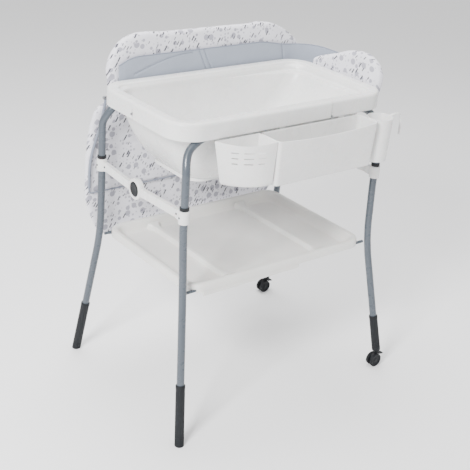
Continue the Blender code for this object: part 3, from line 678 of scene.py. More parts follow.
@dataclass
class TubeFrame:
    """The painted tubes, their collars, sleeves, clips and braces."""

    palette: Palette
    tube: float = 0.011
    post_x: float = 0.352
    post_y: float = 0.214
    bend: tuple[float, float, float] = (0.350, 0.2225, 0.443)
    foot_y: float = 0.301
    foot_x: dict[str, float] = field(default_factory=lambda: {"left": 0.391, "right": 0.404})
    joint_z: float = 0.664
    rail: tuple[float, float] = (0.193, 0.874)
    bow_radius: float = 0.090
    sleeve_top: float = 0.180

    def axis_point(self, side: str, sx: float, sy: float, z: float) -> Vector:
        """Returns a splayed leg's centre at a height below its bend."""
        t = z / self.bend[2]
        foot = self.foot_x[side]
        return Vector((sx * (foot + (self.bend[0] - foot) * t),
                       sy * (self.foot_y + (self.bend[1] - self.foot_y) * t), z))

    def bow(self, name: str, sy: float) -> None:
        """Makes one upper hoop from post to post, under the bath's rim."""
        start = Vector((-self.post_x, sy * self.post_y, self.joint_z + 0.0003))
        path = [start]
        steps = 24
        for k in range(steps + 1):
            a = math.radians(90 * k / steps)
            lean = min(1.0, 2 * k / steps)
            ease = lean * lean * (3 - 2 * lean)
            y = self.post_y + (self.rail[0] - self.post_y) * ease
            path.append(Vector((-self.post_x + self.bow_radius * (1 - math.cos(a)), sy * y,
                                self.rail[1] - self.bow_radius * (1 - math.sin(a)))))
        path += [Vector((-p.x, p.y, p.z)) for p in reversed(path)]
        new_piece(name + "_tube", pipe(name, path, self.tube), self.palette.paint,
                  "frame", (name,))

    def leg(self, end: str, side: str) -> None:
        """Makes one lower leg tube and its rubber sleeve."""
        sx = -1.0 if side == "left" else 1.0
        sy = -1.0 if end == "front" else 1.0
        name = "leg_%s_%s" % (end, side)
        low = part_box(name)[0].z
        points = [Vector((sx * self.post_x, sy * self.post_y, self.joint_z)),
                  Vector((sx * self.post_x, sy * self.post_y, self.joint_z - 0.045)),
                  Vector((sx * self.bend[0], sy * self.bend[1], self.bend[2])),
                  self.axis_point(side, sx, sy, low + 0.003)]
        path = [points[0]] + eased(points[1:], 0.07, 14)
        new_piece(name + "_tube", pipe(name, path, self.tube), self.palette.paint,
                  "frame", (name,))
        self.sleeve(end, side, sx, sy)

    def sleeve(self, end: str, side: str, sx: float, sy: float) -> None:
        """Makes a rubber sleeve with a rolled lip, grip rings and a rounded foot."""
        name = "sleeve_%s_%s" % (end, side)
        low_z = -0.0045 if side == "left" else 0.055
        low = self.axis_point(side, sx, sy, low_z)
        top = self.axis_point(side, sx, sy, self.sleeve_top)
        length = (top - low).length
        wide = 0.014
        profile: list[Flat] = [(0, 0), (wide - 0.004, 0), (wide - 0.0015, 0.0007), (wide - 0.0003, 0.002)]
        for k in range(4):
            h = 0.010 + 0.006 * k
            profile += [(wide - 0.0002, h), (wide - 0.0011, h + 0.0008), (wide - 0.0011, h + 0.0018),
                        (wide - 0.0002, h + 0.0026)]
        profile += [(wide - 0.0006, length - 0.012), (wide - 0.0001, length - 0.010),
                    (wide - 0.0001, length - 0.002), (wide - 0.0009, length),
                    (self.tube + 0.0003, length - 0.0003), (self.tube + 0.0003, length * 0.5),
                    (0, length * 0.5 - 0.001)]
        mesh = lathe(name, profile, low, top - low)
        if low_z < 0:
            trim_below(mesh, 0.0)
        new_piece(name + "_rubber", mesh, self.palette.rubber, "frame", (name,))

    def rivet(self, name: str, place: Vector, outward: Vector, radius: float = 0.0032) -> None:
        """Adds a domed rivet head with a dimple."""
        profile = [(0, 0.0007), (radius * 0.3, 0.0009), (radius * 0.45, 0.0015),
                   (radius * 0.8, 0.0012), (radius, 0.0003), (radius, -0.0012), (0, -0.0012)]
        new_piece(name, lathe(name, profile, place, outward, 20), self.palette.dark,
                  "frame")

    def clip(self, end: str, side: str) -> None:
        """Makes a white clamp: a ring with soft edges and a wide saddle that takes the brace."""
        sx = -1.0 if side == "left" else 1.0
        sy = -1.0 if end == "front" else 1.0
        name = "clip_%s_%s" % (end, side)
        low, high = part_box(name)
        base = Vector((sx * self.post_x, sy * self.post_y, low.z))
        tall = high.z - low.z
        outer = 0.0158
        bore = self.tube + 0.0003
        profile = [(bore, 0.0008), (bore + 0.001, 0), (outer - 0.0018, 0), (outer - 0.0004, 0.0008),
                   (outer, 0.0025), (outer, tall - 0.0025), (outer - 0.0004, tall - 0.0008),
                   (outer - 0.0018, tall), (bore + 0.001, tall), (bore, tall - 0.0008)]
        new_piece(name + "_ring", lathe(name, profile, base, Vector((0, 0, 1))), self.palette.white,
                  "frame", (name,))
        near = self.post_y - self.tube - 0.0022
        far = self.post_y - 0.036
        half = 0.0068
        rings = []
        for inset, x in ((0.0016, -half), (0.0005, -half + 0.0005), (0.0, -half + 0.0016),
                         (0.0, half - 0.0016), (0.0005, half - 0.0005), (0.0016, half)):
            z0, z1 = low.z + 0.004 + inset, high.z - 0.005 - inset
            outline = eased_outline([(near, z0), (far + inset, z0 + 0.001), (far + inset, z1 - 0.001),
                                     (near, z1)], [0.001, 0.006, 0.006, 0.001], 6)
            rings.append([(sx * self.post_x + x, sy * y, z) for y, z in outline])
        new_piece(name + "_lug", skin(rings, name + "_lug"), self.palette.white, "frame")
        z = (low.z + high.z) / 2
        out = Vector((sx, 0, 0))
        face = sx * self.post_x
        self.rivet(name + "_rivet_lug", Vector((face + sx * half, sy * (far + 0.009), z)), out, 0.0030)
        self.rivet(name + "_rivet_ring", Vector((face + sx * (outer - 0.0002), sy * self.post_y, z)),
                   out, 0.0030)

    def brace(self, side: str) -> None:
        """Makes the two pressed brace halves, their boss and its lock button."""
        sx = -1.0 if side == "left" else 1.0
        for end in ("front", "rear"):
            name = "brace_%s_%s" % (side, end)
            self.brace_half(name, sx)
        hub_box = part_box("brace_boss_" + side)
        middle = (hub_box[0] + hub_box[1]) / 2
        wide = (hub_box[1].y - hub_box[0].y) / 2
        deep = 0.009
        pocket = 0.0221
        out = Vector((sx, 0, 0))
        centre = Vector((sx * self.post_x, middle.y, middle.z))
        profile = [(0, -0.004), (pocket - 0.001, -0.004), (pocket, -0.003), (pocket, deep - 0.001),
                   (pocket + 0.0008, deep - 0.0002), (wide - 0.005, deep), (wide - 0.0022, deep - 0.0006),
                   (wide - 0.0006, deep - 0.0022), (wide, deep - 0.0045), (wide, -deep + 0.002),
                   (wide - 0.0006, -deep + 0.0006), (wide - 0.002, -deep), (0, -deep)]
        new_piece("brace_boss_%s_shell" % side, lathe("boss", profile, centre, out, 64),
                  self.palette.white, "frame", ("brace_boss_" + side,))
        face = 0.0095
        cap = 0.0215
        profile = [(0, face - 0.0008), (cap - 0.0095, face - 0.0006), (cap - 0.0075, face - 0.0001),
                   (cap - 0.0035, face - 0.0004), (cap - 0.0012, face - 0.0014), (cap, face - 0.003),
                   (cap, face - 0.006), (0, face - 0.006)]
        new_piece("lock_button_%s_cap" % side, lathe("button", profile, centre, out, 64),
                  self.palette.dark, "lock_button_" + side, ("lock_button_" + side,))

    def spring(self, side: str) -> None:
        """Makes the coil behind a lock button."""
        name = "lock_spring_" + side
        low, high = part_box(name)
        wire = 0.0008
        radius = (high.y - low.y) / 2 - wire
        centre = (low + high) / 2
        turns, count = 3.5, 120
        path = []
        for k in range(count + 1):
            a = 2 * math.pi * turns * k / count
            x = low.x + wire + (high.x - low.x - 2 * wire) * k / count
            path.append(Vector((x, centre.y + radius * math.cos(a), centre.z + radius * math.sin(a))))
        coil = new_piece(name + "_coil", pipe(name, path, wire, 10), self.palette.steel,
                         "frame", (name,))
        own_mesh(coil)

    def brace_half(self, name: str, sx: float) -> None:
        """Adds a raised stiffening rib to a brace half, which keeps its CAD solid."""
        low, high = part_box(name)
        inner = min((low.y, high.y), key=lambda y: abs(y - 0.022))
        outer = max((low.y, high.y), key=lambda y: abs(y - 0.022))
        step = math.copysign(1.0, outer - inner)
        z_in, z_out = 0.660, 0.66775
        a = Vector((0, inner + step * 0.013, z_in + 0.001))
        b = Vector((0, outer - step * 0.010, z_out))
        rings = []
        for inset, x in ((0.0, 0.0052), (0.0, 0.0063), (0.0006, 0.0069), (0.0018, 0.0071)):
            half = 0.0078 - inset
            outline = []
            for centre, turn in ((a, 90.0), (b, -90.0)):
                for k in range(13):
                    angle = math.radians(turn + 15 * k)
                    outline.append((centre.y + step * half * math.cos(angle),
                                    centre.z + half * math.sin(angle)))
            rings.append([(sx * (self.post_x + x), y, z) for y, z in outline])
        new_piece(name + "_rib", skin(rings, name), self.palette.white, "frame")

    def build(self) -> None:
        """Makes every tube, sleeve, clip and brace."""
        self.bow("bow_front", -1.0)
        self.bow("bow_rear", 1.0)
        for end in ("front", "rear"):
            for side in ("left", "right"):
                self.leg(end, side)
                self.clip(end, side)
        for side in ("left", "right"):
            self.brace(side)
            self.spring(side)
        for name in ("cross_rod_front", "cross_rod_rear"):
            low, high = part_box(name)
            y, z = (low.y + high.y) / 2, (low.z + high.z) / 2
            path = [Vector((low.x, y, z)), Vector((high.x, y, z))]
            new_piece(name + "_bar", pipe(name, path, (high.z - low.z) / 2), self.palette.paint,
                      "frame", (name,))


# ---------------------------------------------------------------- bath

@dataclass
class Bath:
    """The moulded bath: a rolled rim, a deep skirt and a seat ledge round its right end."""

    palette: Palette
    rim_width: float = 0.037
    corner: float = 0.080
    wall: float = 0.0035
    edge: float = 0.0085
    inner_edge: float = 0.0065
    skirt: float = 0.868
    ledge_z: float = 0.8925
    ledge_depth: float = 0.032
    notch_left: float = 0.019
    notch_front: float = 0.147
    notch_half: float = 0.0036
    notch_top_left: float = 0.896
    notch_top_front: float = 0.884
    proud: float = 0.0020

    def __post_init__(self) -> None:
        """Reads the bath's size from the frame and spaces the points of its rings."""
        low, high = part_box("bath")
        self.half_x = high.x
        self.half_y = high.y
        self.top = high.z
        self.low = low.z
        straight_y = self.half_y - self.corner
        straight_x = self.half_x - self.corner
        self.stops = (self.spaced(straight_y, -straight_y, self.notch_left),
                      self.spaced(-straight_x, straight_x, self.notch_front))

    def spaced(self, start: float, end: float, notch: float) -> tuple[float, ...]:
        """Returns shares of a side's length, close together at its notch."""
        half = self.notch_half
        near = [notch + d for d in (-half - 0.004, -half - 0.0006, -half, half, half + 0.0006,
                                    half + 0.004)]
        wide = [start + (end - start) * k / 14 for k in range(1, 14)]
        far = [place for place in wide if abs(place - notch) > half + 0.012]
        return tuple(sorted((place - start) / (end - start) for place in near + far))

    def ring(self, half_x: float, half_y: float, radius: float, z: float,
             cx: float = 0.0) -> list[Point]:
        """Returns a ring with the same number of points as every other ring of the bath."""
        return round_rect(half_x, half_y, radius, z, cx, stops=self.stops)

    def rim_ring(self, inset: float, z: float) -> list[Point]:
        """Returns a ring that follows the rim's outer edge, moved in by an inset."""
        return self.ring(self.half_x - inset, self.half_y - inset, self.corner - inset, z)

    def skirt_ring(self, inset: float, z: float) -> list[Point]:
        """Returns a rim ring with the proud front corner and, low enough, the two notches."""
        out = []
        for x, y, height in self.rim_ring(inset, z):
            flat_left = y > self.notch_left + self.notch_half
            flat_front = x > self.notch_front + self.notch_half
            step = self.proud if flat_left or flat_front else 0.0
            if x < -self.half_x + 0.02 and abs(y - self.notch_left) < self.notch_half + 0.0002:
                step = 0.0085 if z < self.notch_top_left else self.proud
            if y < -self.half_y + 0.02 and abs(x - self.notch_front) < self.notch_half + 0.0002:
                step = 0.0030 if z < self.notch_top_front else self.proud
            corner_x = math.copysign(max(0.0, abs(x) - self.half_x + self.corner), x)
            corner_y = math.copysign(max(0.0, abs(y) - self.half_y + self.corner), y)
            move = Vector((corner_x, corner_y, 0)).normalized() * step
            out.append((x - move.x, y - move.y, height))
        return out

    def ledge_share(self, x: float) -> float:
        """Returns how far the seat ledge has grown at a place along the bath."""
        t = max(0.0, min(1.0, (x - 0.01) / 0.26))
        return t * t * (3 - 2 * t)

    def ledge_ring(self, share: float, z: float) -> list[Point]:
        """Returns a wall ring, pulled in at the right end by a share of the ledge's depth."""
        inside = self.rim_width + 0.004
        ring = self.ring(self.half_x - inside, self.half_y - inside, self.corner - 0.018, z)
        out = []
        for x, y, height in ring:
            grow = self.ledge_share(x) * share * self.ledge_depth
            reach = Vector((max(0.0, x - 0.20), y, 0))
            pull = reach.normalized() * grow * (0.45 + 0.55 * min(1.0, max(0.0, x - 0.2) / 0.1))
            out.append((x - pull.x, y - pull.y, height))
        return out

    def lower_ring(self, t: float) -> list[Point]:
        """Returns a ring of the inner wall between the ledge, at 0, and the floor, at 1."""
        start = self.ledge_ring(1.0, self.ledge_z - 0.006)
        floor = self.ring(0.160, 0.104, 0.058, 0.0, -0.088)
        middle = self.ring(0.262, 0.146, 0.070, 0.0, -0.044)
        drop = self.ledge_z - 0.006 - 0.7125
        out = []
        for a, m, b in zip(start, middle, floor):
            along = t ** 1.15
            x = a[0] * (1 - along) ** 2 + m[0] * 2 * along * (1 - along) + b[0] * along ** 2
            y = a[1] * (1 - along) ** 2 + m[1] * 2 * along * (1 - along) + b[1] * along ** 2
            curve = 1 - (1 - t) ** 1.35
            out.append((x, y, self.ledge_z - 0.006 - drop * curve))
        return out

    def outer_rings(self, seat: float) -> list[list[Point]]:
        """Returns the rings of the bowl's outer side, from its foot up to the rim's seat."""
        inner = self.rim_width - self.wall - 0.001
        wide_x, wide_y, radius = self.half_x - inner, self.half_y - inner, self.corner - 0.018
        return [self.ring(0.196, 0.090, 0.050, self.low, -0.028),
                self.ring(0.214, 0.106, 0.060, self.low + 0.0003, -0.028),
                self.ring(0.222, 0.113, 0.062, self.low + 0.0025, -0.027),
                self.ring(0.246, 0.128, 0.066, 0.722, -0.022),
                self.ring(0.286, 0.145, 0.069, 0.758, -0.012),
                self.ring(0.318, 0.158, 0.072, 0.800, -0.003),
                self.ring(0.336, 0.171, 0.068, 0.850),
                self.ring(wide_x, wide_y, radius, 0.876),
                self.ring(wide_x + 0.001, wide_y + 0.001, radius, seat)]

    def rim_rings(self, seat: float) -> list[list[Point]]:
        """Returns the rings of the rim, from its seat round the skirt to its inner edge."""
        top = self.top
        inner = self.wall + 0.0095
        rings = [self.rim_ring(inner, seat), self.rim_ring(inner, self.skirt + 0.002),
                 self.skirt_ring(0.0042, self.skirt), self.skirt_ring(0.0006, self.skirt),
                 self.skirt_ring(0.0, self.skirt + 0.0012)]
        for notch in (self.notch_top_front, self.notch_top_left):
            rings += [self.skirt_ring(0.0, notch - 0.0020), self.skirt_ring(0.0, notch - 0.0003),
                      self.skirt_ring(0.0, notch + 0.0003), self.skirt_ring(0.0, notch + 0.0016)]
        for k in range(9):
            a = math.radians(90 * k / 8)
            rings.append(self.skirt_ring(self.edge * (1 - math.cos(a)),
                                         top - self.edge * (1 - math.sin(a))))
        rings.append(self.rim_ring(self.edge + 0.004, top))
        rings.append(self.rim_ring(self.rim_width - self.inner_edge - 0.004, top - 0.0003))
        for k in range(1, 8):
            a = math.radians(90 * k / 7)
            rings.append(self.rim_ring(self.rim_width - self.inner_edge * (1 - math.sin(a)),
                                       top - 0.0006 - self.inner_edge * (1 - math.cos(a))))
        return rings

    def build(self) -> None:
        """Makes the bath with its ledge, its plinth and the drain's plug."""
        seat = self.top - 0.0295
        walls = [self.ledge_ring(0.0, self.top - 0.013), self.ledge_ring(0.0, self.ledge_z + 0.0042),
                 self.ledge_ring(0.03, self.ledge_z + 0.0014), self.ledge_ring(0.16, self.ledge_z),
                 self.ledge_ring(0.50, self.ledge_z - 0.0004), self.ledge_ring(0.86, self.ledge_z - 0.0010),
                 self.ledge_ring(0.97, self.ledge_z - 0.0028)]
        walls += [self.lower_ring(t / 16) for t in range(17)]
        rings = self.outer_rings(seat) + self.rim_rings(seat) + walls
        bath = new_piece("bath_moulding", skin(rings, "bath", 60), self.palette.white,
                         "bath", ("bath",))
        add_modifier(bath, "SUBSURF", levels=1, render_levels=1)
        self.plinth()
        self.drain()

    def plinth(self) -> None:
        """Makes the low plinth that the bowl stands on when it is lifted out."""
        rings = []
        for grow, z in ((-0.0180, self.low - 0.0040), (-0.0015, self.low - 0.0040),
                        (0.0, self.low - 0.0028), (0.0, self.low + 0.0050),
                        (-0.0015, self.low + 0.0066), (-0.0120, self.low + 0.0070)):
            rings.append(round_rect(0.230 + grow, 0.112 + grow, 0.056 + grow, z, -0.030))
        new_piece("bath_plinth", skin(rings, "bath_plinth"), self.palette.white, "bath")

    def drain(self) -> None:
        """Makes the plug with its pull knob."""
        low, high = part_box("drain_plug")
        place = Vector(((low.x + high.x) / 2, (low.y + high.y) / 2, low.z))
        tall = high.z - low.z
        profile = [(0, tall), (0.0036, tall - 0.0002), (0.0050, tall - 0.0016), (0.0052, tall - 0.004),
                   (0.0040, tall - 0.0068), (0.0060, tall - 0.0084), (0.0185, tall - 0.0088),
                   (0.0205, tall - 0.0096), (0.0210, tall - 0.0108), (0.0160, tall - 0.0109),
                   (0.0150, 0), (0, 0)]
        new_piece("drain_plug_cap", lathe("plug", profile, place, Vector((0, 0, 1))),
                  self.palette.white, "drain_plug", ("drain_plug",))


# ---------------------------------------------------------------- shelf tray

@dataclass
class ShelfTray:
    """The shelf: three shallow compartments inside a broad rolled edge."""

    palette: Palette
    corner: float = 0.045
    ribs: tuple[float, float] = (-0.172, 0.170)
    rib_half: float = 0.011

    def ring(self, inset: float, z: float) -> list[Point]:
        """Returns a ring that follows the tray's edge, moved in by an inset."""
        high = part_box("shelf_tray")[1]
        radius = max(0.012, self.corner - inset * 0.55)
        return round_rect(high.x - inset, high.y - inset, radius, z, corner=10, side=10)

    def build(self) -> None:
        """Makes the tray, its ribs and the lip under its front edge."""
        low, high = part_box("shelf_tray")
        top = high.z
        skirt = 0.430
        floor = 0.4255
        rings = [self.ring(0.050, floor - 0.0028), self.ring(0.042, floor - 0.0028),
                 self.ring(0.026, skirt + 0.003), self.ring(0.0215, 0.4408), self.ring(0.003, 0.4408),
                 self.ring(0.003, skirt + 0.0008), self.ring(0.0022, skirt), self.ring(0.0008, skirt),
                 self.ring(0.0, skirt + 0.0008), self.ring(0.0, top - 0.007),
                 self.ring(0.0005, top - 0.004), self.ring(0.0022, top - 0.0014),
                 self.ring(0.005, top - 0.0001), self.ring(0.012, top), self.ring(0.0155, top - 0.0008),
                 self.ring(0.018, top - 0.0028), self.ring(0.0205, top - 0.007),
                 self.ring(0.0265, floor + 0.0085), self.ring(0.0285, floor + 0.0036),
                 self.ring(0.0310, floor + 0.0010), self.ring(0.0350, floor), self.ring(0.060, floor)]
        tray = new_piece("shelf_tray_moulding", skin(rings, "tray", 50), self.palette.shelf,
                         "shelf_tray", ("shelf_tray",))
        self.saddles(tray)
        add_modifier(tray, "BEVEL", width=0.0006, segments=2, limit_method="ANGLE")
        for tag, x in (("left", self.ribs[0]), ("right", self.ribs[1])):
            self.rib("shelf_rib_" + tag, x, floor, high.y - 0.0305)
        self.lip(low, skirt)

    def saddles(self, tray: bpy.types.Object) -> None:
        """Cuts the four open slots in the skirt that sit over the cross rods."""
        blocks = []
        for rod in ("cross_rod_front", "cross_rod_rear"):
            low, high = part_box(rod)
            for sx in (-1, 1):
                x = sx * 0.302
                middle = Vector((x, (low.y + high.y) / 2, high.z + 0.0002 - 0.020))
                size = (0.080, high.y - low.y + 0.0018, 0.040, 1)
                blocks.append(Matrix.Translation(middle) @ Matrix.Diagonal(size))
        carve(tray, blocks)

    def rib(self, name: str, x: float, floor: float, half: float) -> None:
        """Makes a rounded divider that runs from front to back and flares at its ends."""
        rings = []
        count = 48
        for k in range(count + 1):
            y = -half + 2 * half * k / count
            edge = min(1.0, (half - abs(y)) / 0.030)
            flare = (1 - edge) ** 2
            tall = 0.0145 + 0.006 * flare
            wide = self.rib_half + 0.020 * flare
            section = []
            for j in range(17):
                u = -1 + 2 * j / 16
                slope = max(0.0, min(1.0, (1 - abs(u)) / 0.42))
                section.append((x + wide * u, y, floor - 0.0004 + tall * slope * slope * (3 - 2 * slope)))
            section += [(x + wide, y, floor - 0.002), (x - wide, y, floor - 0.002)]
            rings.append(section)
        new_piece(name, skin(rings, name, 60), self.palette.shelf, "shelf_tray")

    def lip(self, low: Vector, skirt: float) -> None:
        """Makes the lower lip under the tray's front edge."""
        rings = []
        bottom = low.z
        for inset, y in ((0.0012, 0.0), (0.0, 0.0009), (0.0, 0.0021), (0.0012, 0.003)):
            outline = eased_outline([(-0.285 + inset, skirt + 0.002), (-0.285 + inset, bottom + inset),
                                     (0.066 - inset, bottom + inset), (0.066 - inset, skirt + 0.002)],
                                    [0.0003, 0.005, 0.007, 0.0003], 6)
            rings.append([(x, low.y + y, z) for x, z in outline])
        new_piece("shelf_lip", skin(rings, "lip", 50), self.palette.shelf, "shelf_tray")


# ---------------------------------------------------------------- organizer

@dataclass
class Organizer:
    """The front organizer: a long box, a slatted drainer and a cup with a hook."""

    palette: Palette
    wall: float = 0.0026
    sag: float = 0.010

    def long_box(self) -> None:
        """Makes the long open box, its front edge dipping towards the middle."""
        low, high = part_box("organizer_box")
        cx, cy = (low.x + high.x) / 2, (low.y + high.y) / 2
        hx, hy = (high.x - low.x) / 2, (high.y - low.y) / 2
        top = high.z

        def ring(inset: float, z: float, radius: float, dip: float = 0.0) -> list[Point]:
            """Returns one ring of the box, its front lowered by a dip."""
            loop = round_rect(hx - inset, hy - inset, radius, z, cx, cy, 8, 14)
            out = []
            for x, y, height in loop:
                front = max(0.0, min(1.0, (cy + hy - y) / (2 * hy)))
                along = max(0.0, 1 - ((x - cx) / hx) ** 2)
                out.append((x, y, height - dip * front * along))
            return out

        wall = self.wall
        bottom = low.z
        rings = [ring(0.014, bottom, 0.006), ring(0.0095, bottom, 0.009),
                 ring(0.0072, bottom + 0.0009, 0.011), ring(0.0060, bottom + 0.003, 0.012),
                 ring(0.0055, bottom + 0.008, 0.0125), ring(0.0004, top - 0.020, 0.0138, self.sag * 0.8),
                 ring(0.0, top - 0.005, 0.014, self.sag), ring(0.0, top - 0.0012, 0.014, self.sag),
                 ring(0.0006, top - 0.0002, 0.0134, self.sag), ring(0.0013, top, 0.0127, self.sag),
                 ring(wall - 0.0006, top - 0.0002, 0.012, self.sag),
                 ring(wall, top - 0.0012, 0.0115, self.sag), ring(wall, top - 0.006, 0.0115, self.sag),
                 ring(0.0055 + wall, bottom + 0.010, 0.010), ring(0.0064 + wall, bottom + 0.0052, 0.0092),
                 ring(0.0090 + wall, bottom + 0.0030, 0.007), ring(0.017, bottom + 0.0028, 0.004)]
        new_piece("organizer_box_moulding", skin(rings, "long_box", 60), self.palette.white,
                  "frame", ("organizer_box",))

    def drainer(self) -> None:
        """Makes the slatted box with its bowed front and three rows of slots."""
        low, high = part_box("slatted_box")
        right, back, top, bottom = high.x, high.y, high.z, low.z

        def plan(inset: float, shrink: float) -> tuple[list[Flat], tuple[Flat, Flat, Flat]]:
            """Returns the box's plan and the three points of its bowed front."""
            rear = back - inset
            start = (low.x + shrink + inset * 1.6, rear)
            end = (right - inset, low.y + shrink * 0.3 + inset * 1.4)
            control = (start[0] + 0.055 - inset * 1.8, end[1] - 0.002 - inset * 1.0)
            points = [(right - inset, rear)]
            steps = 28
            for k in range(steps + 1):
                points.append(self.curve(start, control, end, k / steps))
            return points, (start, control, end)

        def ring(inset: float, shrink: float, z: float, dip: float = 0.0) -> list[Point]:
            """Returns one ring of the box, its front lowered by a dip."""
            points = plan(inset, shrink)[0]
            count = len(points) - 2
            out = [(points[0][0], points[0][1], z)]
            for k, (x, y) in enumerate(points[1:]):
                out.append((x, y, z - dip * math.sin(math.pi * k / count)))
            return out

        rings = [ring(0.010, 0.030, bottom, 0.0), ring(0.004, 0.0275, bottom + 0.0006),
                 ring(0.001, 0.0262, bottom + 0.003), ring(0.0, 0.024, bottom + 0.012),
                 ring(0.0, 0.001, top - 0.006, 0.006), ring(0.0, 0.0002, top - 0.0012, 0.006),
                 ring(0.0007, 0.0, top, 0.006), ring(self.wall - 0.0007, 0.0, top, 0.006),
                 ring(self.wall, 0.0, top - 0.0012, 0.006), ring(self.wall, 0.024, bottom + 0.014),
                 ring(self.wall + 0.003, 0.0275, bottom + 0.0042), ring(0.016, 0.030, bottom + 0.0035)]
        box = new_piece("slatted_box_moulding", skin(rings, "slatted", 50), self.palette.white,
                        "frame", ("slatted_box",))
        start, control, end = plan(0.0, 0.008)[1]
        blocks = []
        for row, z in enumerate((0.8350, 0.8190, 0.8030)):
            for a, b in ((0.22, 0.34), (0.42, 0.60), (0.67, 0.81)):
                p = Vector(self.curve(start, control, end, a + 0.006 * row))
                q = Vector(self.curve(start, control, end, b - 0.006 * row))
                along = q - p
                middle = (p + q) / 2
                blocks.append(Matrix.Translation((middle.x, middle.y, z))
                              @ Matrix.Rotation(math.atan2(along.y, along.x), 4, "Z")
                              @ Matrix.Diagonal((along.length, 0.020, 0.0032, 1)))
        carve(box, blocks)

    @staticmethod
    def curve(start: Flat, control: Flat, end: Flat, t: float) -> Flat:
        """Returns a point on a curve from start to end, drawn towards its control point."""
        return tuple(a * (1 - t) ** 2 + b * 2 * t * (1 - t) + c * t * t
                     for a, b, c in zip(start, control, end))

    def cup(self) -> None:
        """Makes the cup and the flat hook moulded on its rim."""
        low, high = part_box("cup_holder")
        radius = (high.y - low.y) / 2
        centre = Vector((low.x + radius, (low.y + high.y) / 2, 0))
        bottom = low.z
        top = 0.862
        foot = radius - 0.005
        wall = self.wall
        profile = [(0, bottom + 0.0028), (foot - wall - 0.003, bottom + 0.003),
                   (foot - wall, bottom + 0.0062), (radius - wall, top - 0.0012),
                   (radius - wall + 0.0006, top - 0.0002), (radius - 0.0007, top - 0.0002),
                   (radius, top - 0.0012), (radius - 0.0004, top - 0.010), (foot, bottom + 0.006),
                   (foot - 0.0012, bottom + 0.0015), (foot - 0.004, bottom), (0, bottom)]
        new_piece("cup_holder_moulding", lathe("cup", profile, centre, Vector((0, 0, 1)), 72),
                  self.palette.white, "cup_holder", ("cup_holder",))
        edge = centre.x + radius
        path = eased([Vector((edge - 0.0012, centre.y, top - 0.005)),
                      Vector((edge + 0.024, centre.y, top + 0.0028)),
                      Vector((edge + 0.051, centre.y, top - 0.006)),
                      Vector((edge + 0.052, centre.y, top - 0.068))], 0.020, 12)
        self.strap("cup_hook", path)

    def strap(self, name: str, path: list[Vector]) -> None:
        """Makes a flat strip with round edges along a path in an XZ plane."""
        rings = []
        count = len(path)
        for i, here in enumerate(path):
            along = (path[min(i + 1, count - 1)] - path[max(i - 1, 0)]).normalized()
            out = Vector((0, 1, 0)).cross(along)
            t = i / (count - 1)
            wide = 0.0055 * (1 - 0.35 * t)
            thick = 0.0019
            ring = []
            for k in range(20):
                a = 2 * math.pi * k / 20
                c, s = math.cos(a), math.sin(a)
                across = math.copysign(abs(c) ** 0.5, c) * wide
                deep = math.copysign(abs(s) ** 0.8, s) * thick
                ring.append(tuple(here + Vector((0, 1, 0)) * across + out * deep))
            rings.append(ring)
        new_piece(name, skin(rings, name, 60, 0.0), self.palette.white, "cup_holder")

    def build(self) -> None:
        """Makes the three pieces of the organizer."""
        self.long_box()
        self.drainer()
        self.cup()


# ---------------------------------------------------------------- padded mat

